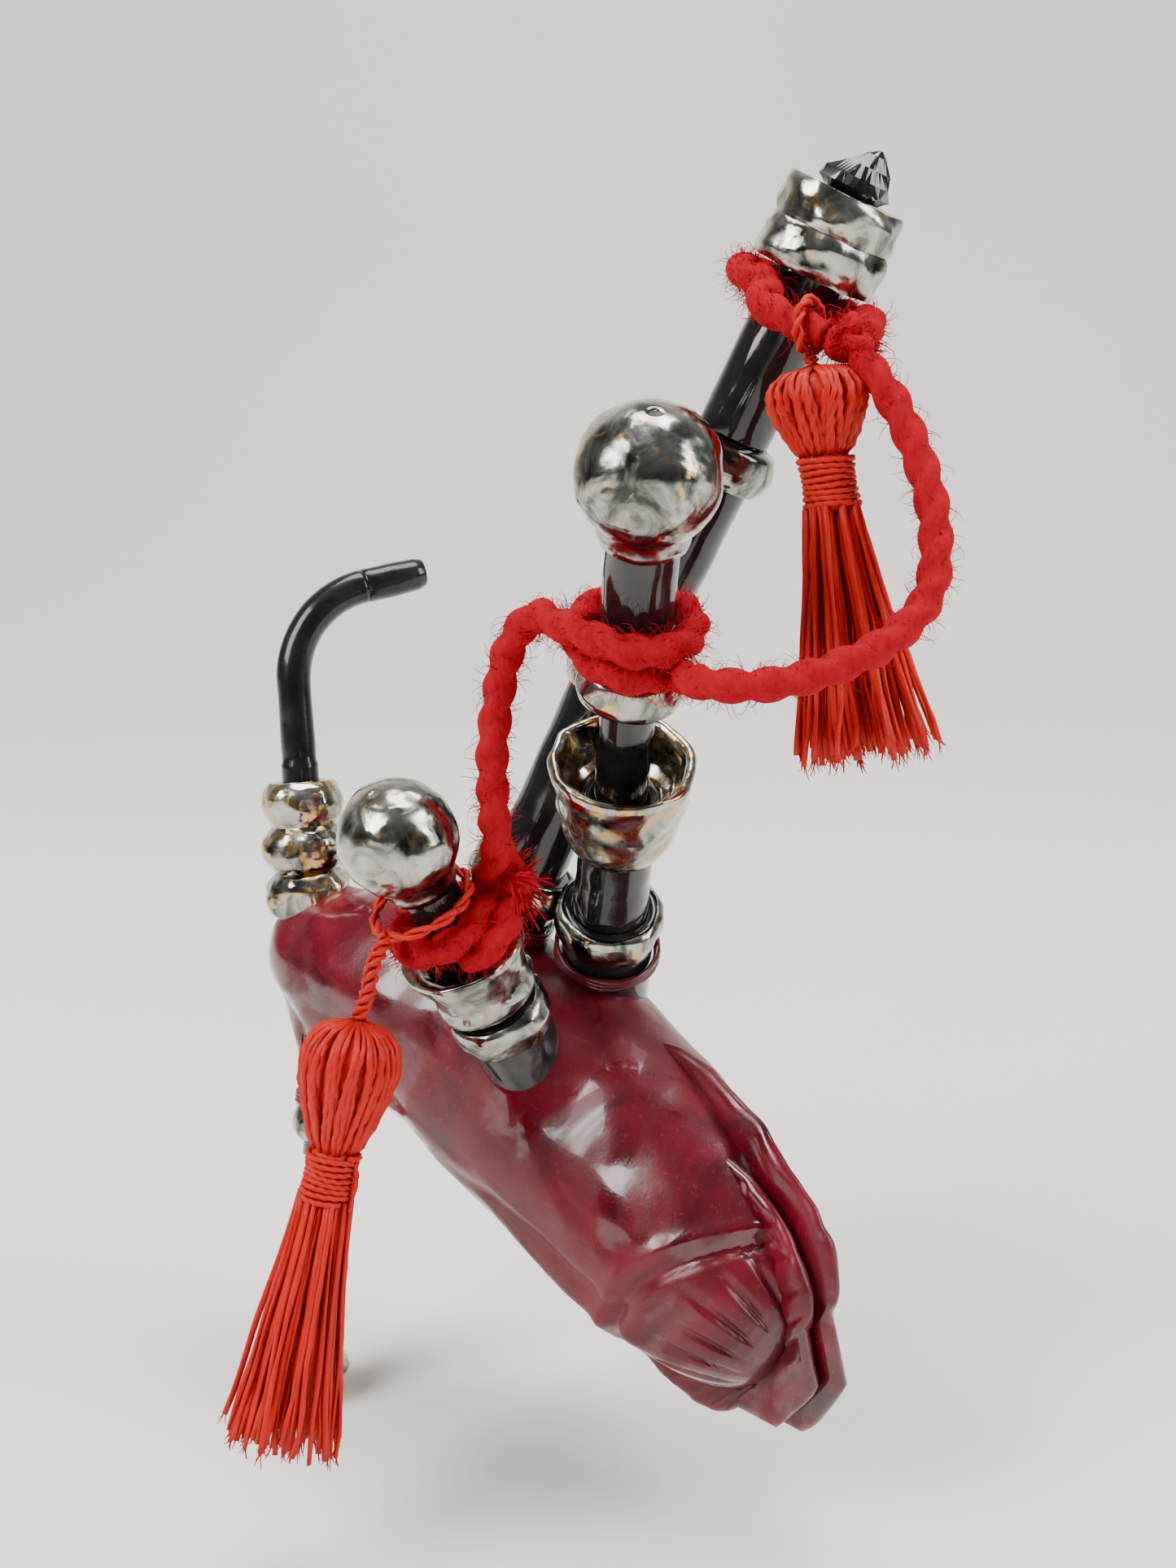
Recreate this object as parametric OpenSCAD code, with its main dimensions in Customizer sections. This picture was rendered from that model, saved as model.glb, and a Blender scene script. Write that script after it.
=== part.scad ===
// A miniature set of Highland bagpipes, taken apart as a real set would be:
// an air bag with five stocks tied in, three drones, blowpipe, chanter, yarn drone cord and two tassels.
// Origin: the point on the bag's outer face where the piper's arm presses. X right, Y back, Z up.

/* [Bag] */
// Largest half-height of the air bag
bag_r = 13.4; // [12.5:0.1:14]
// Half-thickness of the bag as a share of its half-height
bag_flat = 0.93; // [0.9:0.01:0.96]
// Thickness of the bag wall
bag_wall = 1.4; // [1:0.1:1.8]
// Width of the crimped seam flange round the tail
seam_w = 4.4; // [3:0.1:5]

/* [Drones] */
// Distance from the bag to the centre of the bass cap
bass_len = 68; // [67.5:0.5:70]
// Distance from the bag to the centre of the middle drone's ball
outer_len = 53; // [53:0.1:54]
// Distance from the bag to the centre of the front drone's ball
front_len = 24.4; // [24:0.1:25]
// Radius of the bass sticks
bass_r = 3.1; // [2.9:0.05:3.2]
// Radius of the middle drone's stick
outer_r = 2.8; // [2.6:0.05:2.9]
// Radius of the front drone's stick
front_r = 2.4; // [2.3:0.05:2.4]
// Radius of the middle drone's silver ball
outer_ball_r = 5.4; // [5:0.1:5.5]
// Radius of the front drone's silver ball
front_ball_r = 4.9; // [4.6:0.1:5]
// Radius of the wide projecting mount on the bass
bass_mount_r = 7.2; // [6.6:0.1:7.4]
// Radius at the rim of the middle drone's cup
cup_r = 5.8; // [5.2:0.1:6]

/* [Blowpipe and chanter] */
// Radius of the curved blowpipe
pipe_r = 1.6; // [1.5:0.05:1.7]
// Radius of the bend in the blowpipe
pipe_bend_r = 9; // [8:0.5:10]
// Angle through which the blowpipe bends
pipe_bend = 80; // [70:1:85]
// Radius of each bead of the silver blowpipe stock
bead_r = 3.9; // [3.7:0.05:4]
// Length of the chanter below its stock
chanter_len = 20; // [18:0.5:21]

/* [Cord and tassels] */
// Diameter of the yarn drone cord
cord_d = 2.5; // [2.3:0.1:2.5]
// Radius of a tassel head
head_r = 3.5; // [3.2:0.1:3.7]
// Radius of the thread binding under a tassel head
bind_r = 2.3; // [2:0.1:2.5]
// Length of the front tassel's skirt
front_skirt_len = 20; // [18:0.5:20.5]
// Length of the bass tassel's skirt
bass_skirt_len = 19; // [17:0.5:20]
// Thickness of the twisted hanging loops
loop_d = 1; // [0.9:0.05:1.1]

/* [Hidden] */
$fn = 48;

black = "#141416";
silver = "#C4C4BE";
crimson = "#8C1228";
yarn_red = "#C4122C";
scarlet = "#E4301C";
cane = "#D8B36A";
hemp_colour = "#DDB458";
leather = "#5A2E1C";

// Where each pipe leaves the bag, its tilt from upright and the way it leans
bass_at = [-14, 20, 18];
bass_turn = [0, 25.5, -13];
outer_at = [-3.4, 18.6, 16];
outer_turn = [0, 30, -80];
front_at = [-10.1, 9.7, 12.6];
front_turn = [0, 32, -130];
blow_at = [-31.5, 28, 12];
blow_turn = [0, 10, 115];
chanter_at = [-28.7, 24.5, 6.6];
chanter_turn = [0, 168, -110];

// Fits between turned pieces
gap = 0.02;
run = 0.03;
seam_gap = 0.05;
hemp_t = 0.15;

// Stocks: how far each goes into the bag and stands out of it
stock_in = 6;
outer_stock_in = 4;
bass_stock_out = 9;
outer_stock_out = 9;
front_stock_out = 5.6;
chanter_stock_out = 8.6;
bass_stock_r = 4.1;
outer_stock_r = 4;
front_stock_r = 3.6;
chanter_stock_r = 3;
ring_t = 0.6;
ring_len = 3;

// Tenons of the lower sections and the chanter
bass_tenon_r = 2.6;
outer_tenon_r = 2.9;
front_tenon_r = 2.5;
chanter_tenon_r = 1.7;
drone_bore_r = 0.9;
reed_r = 0.75;

// Tuning pins: the thin ends of the upper sections that slide in the sections below
bass_pin_r = 1.9;
outer_pin_r = 2.2;
front_pin_r = 1.8;

// Stations along the bass, measured from the bag
bass_join = 34;
bass_top_join = 50.5;
bass_cap_half = 3.5;
bass_pin_in = 10;

// Stations along the middle drone
cup_z = [17, 26];
outer_step = 33;
outer_pin_z = 12;

// Stations along the front drone
front_cup_z = [6.5, 12];
front_pin_z = 3.5;

// Stations along the blowpipe
bead_z = [8.1, 12.4, 16.7];
bead_to = 18.8;
pipe_from = 9.2;
pipe_bend_z = 28;
mouthpiece_len = 6;
valve_t = 0.3;

// Tassel hanging points
front_head_top = [-21.5, -2.5, 19.2];
front_tassel_turn = [0, 166, -137];
front_loop_z = 18.5;
front_loop_r = 4.1;
front_loop_shift = 1.1;
bass_head_top = [13, 4.2, 69.3];
bass_tassel_turn = [0, 169, -34];
bass_loop_at = [12.7, 4.8, 72.1];
bass_loop_r = 1.95;
joint_gap = 0.3;
front_head_len = 10.5;
bass_head_len = 6.6;
bind_h = 4.2;
front_skirt_r = 5.2;
bass_skirt_r = 6.2;

// Route of the yarn where it isn't wrapped round a stick
route_bass = [[14, 4.2, 71.5], [11.5, 5.5, 72.5], [9, 7.5, 74]];
route_sag = [
    [17.5, 10, 72.5], [17, 6.5, 71.5], [16.5, 3.5, 70], [19, 2, 66.5], [21, 0.5, 62], [22, -1, 57.5],
    [21.5, -3, 53], [18.5, -5.5, 50], [14, -7, 48], [9.5, -7.5, 47], [5.5, -7, 47]
];
route_left = [
    [-5, -3.5, 50.5], [-7.5, -1.5, 51], [-9.5, -0.5, 48.5], [-10.5, 0, 44.5], [-11, 0, 40],
    [-11, 0.5, 35.5], [-11, 2, 31.8]
];
route_end = [[-10.5, 0.5, 25.5], [-10, 2.5, 27.2]];
cord_sides = 8;
top_knot_at = [15.6, 3.9, 71.2];
front_knot_at = [-10.7, 4.2, 29];

function unit(v) = v / norm(v);

// A point beside a pipe: z along it, radius r, angle a from its right-hand side towards the front
function beside(at, turn, z, r, a) =
    let (tilt = turn.y, way = turn.z)
    let (axis = [sin(tilt) * cos(way), sin(tilt) * sin(way), cos(tilt)])
    let (right = [-sin(way), cos(way), 0])
    let (front = [cos(tilt) * cos(way), cos(tilt) * sin(way), -sin(tilt)])
    at + z * axis + r * (cos(a) * right + sin(a) * front);

// Points of a wrap round a pipe, from z0 at angle a0 to z1 at angle a1
function wrap(at, turn, z0, z1, r, a0, a1, n) =
    [for (i = [0:n]) beside(at, turn, z0 + (z1 - z0) * i / n, r, a0 + (a1 - a0) * i / n)];

// Yarn wrapped snugly on each stick, clear of the stick by a fraction of a millimetre
wrap_gap = 0.25;
bass_wrap = wrap(bass_at, bass_turn, 62.6, 62.6, bass_r + cord_d / 2 + wrap_gap + 0.4, 200, 430, 11);
outer_wrap = wrap(outer_at, outer_turn, outer_step + 4.7, outer_step + 7.6,
    outer_r + cord_d / 2 + wrap_gap, 55, 480, 14);
front_wrap = wrap(front_at, front_turn, 16.4, 13.35, front_r + cord_d / 2 + wrap_gap, 305, 745, 15);

route = concat(route_bass, bass_wrap, route_sag, outer_wrap, route_left, front_wrap, route_end);

// Direction of a route at one of its points
function route_dir(p, i) = unit(p[min(i + 1, len(p) - 1)] - p[max(i - 1, 0)]);

// A frame carried along the route without twist, one side vector per point
function carry(p, i, side) =
    i >= len(p) ? [] :
    let (d = route_dir(p, i))
    let (s = unit(side - (side * d) * d))
    concat([s], carry(p, i + 1, s));

// A round tube swept along a route
module swept_tube(p, r, sides) {
    side = carry(p, 0, [0, 1, 0.3]);
    n = len(p);
    points = [
        for (i = [0:n - 1])
            let (d = route_dir(p, i))
            let (up = cross(d, side[i]))
            for (k = [0:sides - 1])
                p[i] + r * (cos(360 * k / sides) * side[i] + sin(360 * k / sides) * up)
    ];
    walls = [
        for (i = [0:n - 2])
            for (k = [0:sides - 1])
                [(i + 1) * sides + k, (i + 1) * sides + (k + 1) % sides, i * sides + (k + 1) % sides, i * sides + k]
    ];
    start = [for (k = [0:sides - 1]) k];
    finish = [for (k = [0:sides - 1]) n * sides - 1 - k];
    polyhedron(points, concat([start], walls, [finish]), convexity = 10);
}

// The bag's middle line, from the neck tip to the tail tip
neck_tip = [-35.5, 29.5, 14.5];
bag_mid = [-10, 24, 12];
tail_tip = [12.4, 0.6, -11.4];

function bag_line(t) = (1 - t) * (1 - t) * neck_tip + 2 * t * (1 - t) * bag_mid + t * t * tail_tip;
function bag_dir(t) = unit((1 - t) * (bag_mid - neck_tip) + t * (tail_tip - bag_mid));
function bag_side(t) = unit([-bag_dir(t).y, bag_dir(t).x, 0]);
function bag_up(t) = cross(bag_dir(t), bag_side(t));

// Half-height of the bag at u degrees, 0 at the neck and 180 at the tail
function bag_share(u) = (1 - cos(u)) / 2;
function bag_half(u, grow) = max(0, (bag_r * (0.54 + 0.33 * bag_share(u) + 0.17 * sin(u)) + grow) * pow(sin(u), 0.62));

// A point on the bag's skin, or on a skin moved out by grow
function bag_point(u, a, grow) =
    let (inset = -grow / 60)
    let (t = inset + bag_share(u) * (1 - 2 * inset))
    bag_line(t) + bag_half(u, grow) * (bag_flat * cos(a) * bag_side(t) + sin(a) * bag_up(t));

module bag_solid(grow, rings, sides) {
    points = concat(
        [bag_point(0, 0, grow)],
        [for (i = [1:rings - 1]) for (k = [0:sides - 1]) bag_point(180 * i / rings, 360 * k / sides, grow)],
        [bag_point(180, 0, grow)]
    );
    last = len(points) - 1;
    first_fan = [for (k = [0:sides - 1]) [0, 1 + k, 1 + (k + 1) % sides]];
    last_fan = [for (k = [0:sides - 1]) [last, last - sides + (k + 1) % sides, last - sides + k]];
    skin = [
        for (i = [0:rings - 3])
            for (k = [0:sides - 1])
                let (a = 1 + i * sides + k)
                let (b = 1 + i * sides + (k + 1) % sides)
                for (half = [0, 1])
                    half == 0 ? [b + sides, b, a] : [a + sides, b + sides, a]
    ];
    polyhedron(points, concat(first_fan, skin, last_fan), convexity = 6);
}

// Puts a turned piece on the axis of its pipe
module on(at, turn) {
    translate(at) rotate(turn) children();
}

module ring(z0, z1, r_out, r_in) {
    translate([0, 0, z0])
        difference() {
            cylinder(h = z1 - z0, r = r_out);
            translate([0, 0, -1]) cylinder(h = z1 - z0 + 2, r = r_in);
        }
}

// A rod with a bore from end to end
module bored(z0, z1, r_out, r_in) {
    ring(z0, z1, r_out, r_in);
}

// A rounded bead turned on a core, standing out from it by bulge
module bead(z, core, bulge, half) {
    translate([0, 0, z])
        rotate_extrude()
            intersection() {
                translate([core + bulge - half, 0]) circle(r = half);
                translate([0, -half]) square([core + bulge, 2 * half]);
            }
}

module stock_holes() {
    on(bass_at, bass_turn) translate([0, 0, -stock_in - 0.5]) cylinder(h = 20, r = bass_stock_r + gap);
    on(outer_at, outer_turn) translate([0, 0, -outer_stock_in - 0.3]) cylinder(h = 20, r = outer_stock_r + gap);
    on(front_at, front_turn) translate([0, 0, -stock_in]) cylinder(h = 14, r = front_stock_r + gap);
    on(blow_at, blow_turn) translate([0, 0, -1]) cylinder(h = 14, r = 3.3 + gap);
    on(blow_at, blow_turn) translate([0, 0, bead_z[0] - 2.4]) cylinder(h = 8, r = bead_r + 0.1);
    on(chanter_at, chanter_turn) translate([0, 0, -4.2]) cylinder(h = 12, r = chanter_stock_r + gap);
}

module bag() {
    color(crimson)
        difference() {
            bag_solid(0, 18, 24);
            bag_solid(-bag_wall, 14, 18);
            stock_holes();
        }
}

// A ribbon that stands out from the bag's edge round its tail
module seam_ribbon(from_u, to_u, wide, thick, shift, steps) {
    edge = [
        for (i = [0:steps])
            let (v = from_u + (to_u - from_u) * i / steps)
            v <= 180 ? [v, -90] : [360 - v, 90]
    ];
    corners = [
        for (i = [0:steps])
            let (u = edge[i][0])
            let (a = edge[i][1])
            let (t = bag_share(u))
            let (rim = bag_point(u, a, 0))
            let (inner = bag_point(u, a, -3.5))
            let (out = unit(rim - inner))
            let (side = bag_side(t))
            let (w = wide * pow(sin(180 * i / steps), 0.5) + 0.1)
            for (q = [[0, -1], [1, -1], [1, 1], [0, 1]])
                (q[0] == 0 ? rim + seam_gap * out : rim + w * out) + (shift + q[1] * thick / 2) * side
    ];
    walls = [for (i = [0:steps - 1]) for (k = [0:3])
        [i * 4 + k, i * 4 + (k + 1) % 4, i * 4 + 4 + (k + 1) % 4, i * 4 + 4 + k]];
    split = [for (w = walls) for (half = [0, 1]) half == 0 ? [w[2], w[1], w[0]] : [w[3], w[2], w[0]]];
    polyhedron(corners, concat([[0, 1, 2, 3]], split, [[steps * 4 + 3, steps * 4 + 2, steps * 4 + 1, steps * 4]]),
        convexity = 8);
}

module bag_seam_front() {
    color(crimson) seam_ribbon(110, 230, seam_w, 1.1, -1, 12);
}

module bag_seam_rear() {
    color(crimson) seam_ribbon(130, 250, seam_w + 1.2, 1.1, 1, 12);
}

// Waxed cord bound round each stock where it comes out of the bag
module tie(r) {
    rotate_extrude() translate([r + gap + 0.5, 0]) circle(r = 0.5);
}

module stock_ties() {
    color(crimson) {
        on(bass_at, bass_turn) translate([0, 0, 3.9]) tie(bass_stock_r);
        on(outer_at, outer_turn) translate([0, 0, 3.8]) tie(outer_stock_r);
        on(chanter_at, chanter_turn) translate([0, 0, 4.9]) tie(chanter_stock_r);
    }
}

// A stock: a black sleeve tied into the bag with a socket for the pipe's tenon
module stock(z0, z1, r, socket_r) {
    color(black) bored(z0, z1, r, socket_r + hemp_t + run);
}

module bass_stock() {
    on(bass_at, bass_turn) stock(-stock_in, bass_stock_out, bass_stock_r, bass_tenon_r);
}

module outer_tenor_stock() {
    on(outer_at, outer_turn) stock(-outer_stock_in, outer_stock_out, outer_stock_r, outer_tenon_r);
}

module front_tenor_stock() {
    on(front_at, front_turn) stock(-4, front_stock_out, front_stock_r, front_tenon_r);
}

module blowpipe_stock() {
    color(silver)
        on(blow_at, blow_turn)
            difference() {
                union() {
                    cylinder(h = bead_to, r = 3.3);
                    for (z = bead_z)
                        bead(z, 3.3, bead_r - 3.3, 2.3);
                }
                translate([0, 0, -1]) cylinder(h = bead_to + 2, r = 1.9 + run);
            }
}

module chanter_stock() {
    on(chanter_at, chanter_turn) stock(-4, chanter_stock_out, chanter_stock_r, chanter_tenon_r);
}

module stock_ring(z_top, r) {
    color(silver) {
        ring(z_top - ring_len, z_top, r + ring_t, r + gap);
    }
}

module bass_stock_ring() {
    on(bass_at, bass_turn) stock_ring(bass_stock_out, bass_stock_r);
}

module outer_tenor_stock_ring() {
    on(outer_at, outer_turn) stock_ring(outer_stock_out, outer_stock_r);
}

module front_tenor_stock_ring() {
    on(front_at, front_turn) stock_ring(front_stock_out, front_stock_r);
}

module chanter_stock_ring() {
    on(chanter_at, chanter_turn) stock_ring(chanter_stock_out, chanter_stock_r);
}

// A single-tongue reed: a cane body with a slot cut behind its tongue
module drone_reed(z0, z1) {
    color(cane)
        difference() {
            bored(z0, z1, reed_r, 0.35);
            translate([0.1, -0.12, z0 + 0.8]) cube([1, 0.24, z1 - z0 - 2.4]);
        }
}

module bass_reed() {
    on(bass_at, bass_turn) drone_reed(-6, 3);
}

module outer_tenor_reed() {
    on(outer_at, outer_turn) drone_reed(-6, 3);
}

module front_tenor_reed() {
    on(front_at, front_turn) drone_reed(-6, 0);
}

// A black stick with a tenon below, a bore, a reed seat and a socket for the tuning pin above
module lower_section(z_tenon, z_body, z_top, body_r, tenon_r, socket_z, pin_r) {
    color(black)
        difference() {
            union() {
                translate([0, 0, z_tenon]) cylinder(h = z_body - z_tenon, r = tenon_r + hemp_t);
                translate([0, 0, z_body]) cylinder(h = z_top - z_body, r = body_r);
            }
            translate([0, 0, z_tenon - 1]) cylinder(h = 3, r = reed_r + gap);
            translate([0, 0, z_tenon - 1]) cylinder(h = z_top - z_tenon + 2, r = 0.5);
            translate([0, 0, socket_z]) cylinder(h = z_top - socket_z + 1, r = pin_r + hemp_t + run);
        }
}

module bass_lower_section() {
    on(bass_at, bass_turn)
        lower_section(1, bass_stock_out + 0.05, bass_join - 1.5, 3.5, bass_tenon_r, 18, bass_pin_r);
}

// The wide projecting mount round the top of the lower section
module bass_lower_mount() {
    color(silver)
        on(bass_at, bass_turn)
            difference() {
                union() {
                    translate([0, 0, 26.5]) cylinder(h = 4, r1 = 4, r2 = 4.8);
                    translate([0, 0, 30.5]) rotate_extrude() translate([bass_mount_r - 1.9, 0]) circle(r = 1.9);
                }
                translate([0, 0, 20]) cylinder(h = 20, r = 3.5 + gap);
            }
}

module bass_middle_section() {
    color(black)
        on(bass_at, bass_turn)
            difference() {
                union() {
                    translate([0, 0, bass_join - bass_pin_in - 1.5]) cylinder(h = 12, r = bass_pin_r);
                    translate([0, 0, bass_join]) cylinder(h = bass_top_join - 0.05 - bass_join, r = bass_r);
                }
                translate([0, 0, 20]) cylinder(h = 32, r = drone_bore_r);
                translate([0, 0, bass_join + 3]) cylinder(h = 20, r = bass_pin_r + hemp_t + run);
            }
}

module bass_middle_hemp() {
    color(hemp_colour)
        on(bass_at, bass_turn) ring(24, 28, bass_pin_r + hemp_t, bass_pin_r + 0.01);
}

module bass_middle_ferrule() {
    color(silver)
        on(bass_at, bass_turn)
            union() {
                ring(46.6, bass_top_join - 0.05, bass_r + 0.9, bass_r + gap);
                difference() {
                    translate([0, 0, 48.2]) rotate_extrude() translate([bass_r + 0.3, 0]) circle(r = 1.2);
                    translate([0, 0, 40]) cylinder(h = 20, r = bass_r + gap);
                }
            }
}

module bass_top_section() {
    color(black)
        on(bass_at, bass_turn)
            difference() {
                union() {
                    translate([0, 0, bass_join + 6]) cylinder(h = 11, r = bass_pin_r);
                    translate([0, 0, bass_top_join]) cylinder(h = bass_len - bass_top_join, r = bass_r);
                }
                translate([0, 0, bass_join]) cylinder(h = bass_len - bass_join - 2, r = drone_bore_r);
            }
}

module bass_top_hemp() {
    color(hemp_colour)
        on(bass_at, bass_turn) ring(41, 45, bass_pin_r + hemp_t, bass_pin_r + 0.01);
}

// The cap: a drum with rounded rings at its foot and shoulder
module bass_cap() {
    color(silver)
        on(bass_at, bass_turn)
            difference() {
                union() {
                    translate([0, 0, bass_len - bass_cap_half]) cylinder(h = 2 * bass_cap_half - 0.6, r = 4.3);
                    translate([0, 0, bass_len - 1.9]) rotate_extrude() translate([3.6, 0]) circle(r = 1.5);
                    translate([0, 0, bass_len + 1.4]) rotate_extrude() translate([3.3, 0]) circle(r = 1.5);
                }
                translate([0, 0, bass_len - bass_cap_half - 1]) cylinder(h = bass_cap_half + 1.1, r = bass_r + gap);
                translate([0, 0, bass_len + 0.05]) cylinder(h = 6, r = 1.2 + gap);
            }
}

module bass_finial() {
    color(black)
        on(bass_at, bass_turn) {
            translate([0, 0, bass_len + 0.1]) cylinder(h = 3.2, r = 1.2);
            translate([0, 0, bass_len + 3.02]) cylinder(h = 2.9, r1 = 2.6, r2 = 0.3);
        }
}

module outer_tenor_lower_section() {
    on(outer_at, outer_turn)
        lower_section(1, outer_stock_out + 0.05, 22, 3.2, outer_tenon_r, outer_pin_z - 6, outer_pin_r);
}

// An open silver cup that flares round the tuning pin
module outer_tenor_cup() {
    color(silver)
        on(outer_at, outer_turn)
            translate([0, 0, cup_z[0]])
                difference() {
                    union() {
                        cylinder(h = 5, r1 = 3.8, r2 = 5);
                        translate([0, 0, 5]) cylinder(h = 4, r1 = 5, r2 = cup_r);
                    }
                    translate([0, 0, -1]) cylinder(h = 12, r = 3.2 + gap);
                    translate([0, 0, 5.2]) cylinder(h = 4, r1 = 3.7, r2 = cup_r - 0.7);
                }
}

module outer_tenor_upper_section() {
    color(black)
        on(outer_at, outer_turn)
            difference() {
                union() {
                    translate([0, 0, outer_pin_z]) cylinder(h = outer_step - outer_pin_z, r = outer_pin_r);
                    translate([0, 0, outer_step]) cylinder(h = outer_len - outer_step, r = outer_r);
                }
                translate([0, 0, outer_pin_z - 1]) cylinder(h = outer_len - outer_pin_z - 2, r = drone_bore_r);
            }
}

module outer_tenor_ferrule() {
    color(silver)
        on(outer_at, outer_turn)
            difference() {
                union() {
                    translate([0, 0, outer_step]) cylinder(h = 3, r = 3.7);
                    translate([0, 0, outer_step + 1]) rotate_extrude() translate([3.4, 0]) circle(r = 1);
                }
                translate([0, 0, outer_step - 1]) cylinder(h = 6, r = outer_r + gap);
            }
}

module outer_tenor_hemp() {
    color(hemp_colour)
        on(outer_at, outer_turn) ring(14, 18, outer_pin_r + hemp_t, outer_pin_r + 0.01);
}

// A silver ball on the end of a drone, with a collar round the stick
module ball(z, r, stick_r) {
    color(silver)
        difference() {
            union() {
                translate([0, 0, z]) sphere(r = r);
                translate([0, 0, z - r - 0.1]) cylinder(h = 1.6, r = stick_r + 0.9);
            }
            translate([0, 0, z - r - 3]) cylinder(h = r + 3.1, r = stick_r + gap);
        }
}

module outer_tenor_ball() {
    on(outer_at, outer_turn) ball(outer_len, outer_ball_r, outer_r);
}

module front_tenor_lower_section() {
    on(front_at, front_turn)
        lower_section(-2, front_stock_out + 0.05, 9.5, 3.2, front_tenon_r, 3, front_pin_r);
}

module front_tenor_cup() {
    color(silver)
        on(front_at, front_turn)
            difference() {
                union() {
                    translate([0, 0, front_cup_z[0]]) cylinder(h = 1.6, r = 4.3);
                    translate([0, 0, front_cup_z[0] + 1.6]) cylinder(h = 3.9, r1 = 4.2, r2 = 5.2);
                }
                translate([0, 0, 0]) cylinder(h = 20, r = 3.2 + gap);
            }
}

module front_tenor_upper_section() {
    color(black)
        on(front_at, front_turn)
            difference() {
                union() {
                    translate([0, 0, front_pin_z]) cylinder(h = 7, r = front_pin_r);
                    translate([0, 0, front_pin_z + 6.3]) cylinder(h = front_len - front_pin_z - 6.3, r = front_r);
                }
                translate([0, 0, 0]) cylinder(h = front_len - 2, r = drone_bore_r);
            }
}

module front_tenor_hemp() {
    color(hemp_colour)
        on(front_at, front_turn) ring(4.2, 6.2, front_pin_r + hemp_t, front_pin_r + 0.01);
}

module front_tenor_ball() {
    on(front_at, front_turn) ball(front_len, front_ball_r, front_r);
}

// Puts a piece at the end of the blowpipe's bend, pointing out of it
module at_mouth() {
    on(blow_at, blow_turn)
        translate([0, 0, pipe_bend_z])
            rotate([0, 0, -90])
                translate([pipe_bend_r, 0, 0])
                    rotate([0, pipe_bend, 0])
                        translate([-pipe_bend_r, 0, 0])
                            children();
}

// The bent stretch of the blowpipe, solid, with a given radius
module bend_rod(r) {
    on(blow_at, blow_turn)
        translate([0, 0, pipe_bend_z])
            rotate([0, 0, -90])
                translate([pipe_bend_r, 0, 0])
                    rotate([90, 0, 180])
                        rotate_extrude(angle = pipe_bend)
                            translate([pipe_bend_r, 0]) circle(r = r);
}

module blowpipe() {
    color(black)
        difference() {
            union() {
                on(blow_at, blow_turn) translate([0, 0, pipe_from]) cylinder(h = bead_to - pipe_from + 0.4, r = 1.75);
                on(blow_at, blow_turn) translate([0, 0, bead_to]) cylinder(h = pipe_bend_z - bead_to + 0.3, r = pipe_r + 0.02);
                bend_rod(pipe_r);
                at_mouth() translate([0, 0, -0.3]) cylinder(h = 3.3, r = 1.1);
            }
            on(blow_at, blow_turn) translate([0, 0, 0]) cylinder(h = pipe_bend_z, r = 0.6);
            bend_rod(0.6);
            at_mouth() cylinder(h = 4, r = 0.6);
        }
}

module blowpipe_mouthpiece() {
    color(black)
        at_mouth()
            difference() {
                translate([0, 0, 0.02]) cylinder(h = mouthpiece_len, r = pipe_r);
                translate([0, 0, -1]) cylinder(h = 4.05, r = 1.1 + gap);
                translate([0, 0, -1]) cylinder(h = mouthpiece_len + 2, r = 0.6);
            }
}

module blowpipe_hemp() {
    color(hemp_colour)
        on(blow_at, blow_turn) ring(10.5, 15.5, 1.9, 1.76);
}

// A leather flap that closes the end of the blowpipe when the piper stops blowing
module blowpipe_valve() {
    color(leather)
        on(blow_at, blow_turn) {
            translate([0.1, 0, pipe_from - valve_t - 0.03]) cylinder(h = valve_t, r = 1.25);
            translate([-1.5, -0.5, pipe_from - valve_t - 0.03]) cube([0.8, 1, valve_t]);
        }
}

// The chanter: a slender conical pipe with seven finger holes and a thumb hole
module chanter() {
    hole_from = chanter_stock_out + 5;
    hole_step = 1.8;
    color(black)
        on(chanter_at, chanter_turn)
            difference() {
                union() {
                    translate([0, 0, 1.5]) cylinder(h = chanter_stock_out - 1.4, r = chanter_tenon_r);
                    translate([0, 0, chanter_stock_out + 0.05]) cylinder(h = 1.6, r = 2.6);
                    translate([0, 0, chanter_stock_out + 1]) cylinder(h = chanter_len - 1, r1 = 1.6, r2 = 2);
                }
                translate([0, 0, -1]) cylinder(h = chanter_len + 10, r = 0.6);
                translate([0, 0, 0]) cylinder(h = 3, r = 0.75 + gap);
                for (i = [0:6])
                    translate([0, 0, hole_from + i * hole_step]) rotate([0, 90, 0]) cylinder(h = 4, r = 0.35);
                translate([0, 0, hole_from - 1]) rotate([0, -90, 0]) cylinder(h = 4, r = 0.35);
            }
}

module chanter_sole() {
    color(silver)
        on(chanter_at, chanter_turn)
            translate([0, 0, chanter_stock_out + chanter_len])
                difference() {
                    union() {
                        translate([0, 0, 0.02]) cylinder(h = 1.4, r1 = 2.6, r2 = 3.5);
                        translate([0, 0, 1.4]) cylinder(h = 0.8, r = 3.5);
                    }
                    translate([0, 0, -1]) cylinder(h = 5, r = 0.8);
                }
}

module chanter_hemp() {
    color(hemp_colour)
        on(chanter_at, chanter_turn) ring(2, 5, chanter_tenon_r + hemp_t, chanter_tenon_r + 0.01);
}

// A double reed seated in the top of the chanter
module chanter_reed() {
    color(cane)
        on(chanter_at, chanter_turn) {
            difference() {
                translate([0, 0, -1.2]) cylinder(h = 4, r = 0.75);
                translate([0, 0, -2]) cylinder(h = 6, r = 0.35);
            }
        }
}

module drone_cord() {
    color(yarn_red) swept_tube(route, cord_d / 2, cord_sides);
}

module cord_top_knot() {
    color(yarn_red)
        translate(top_knot_at) sphere(r = 2.1);
}

module cord_front_knot() {
    color(yarn_red)
        translate(front_knot_at) sphere(r = 2.5);
}

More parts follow.
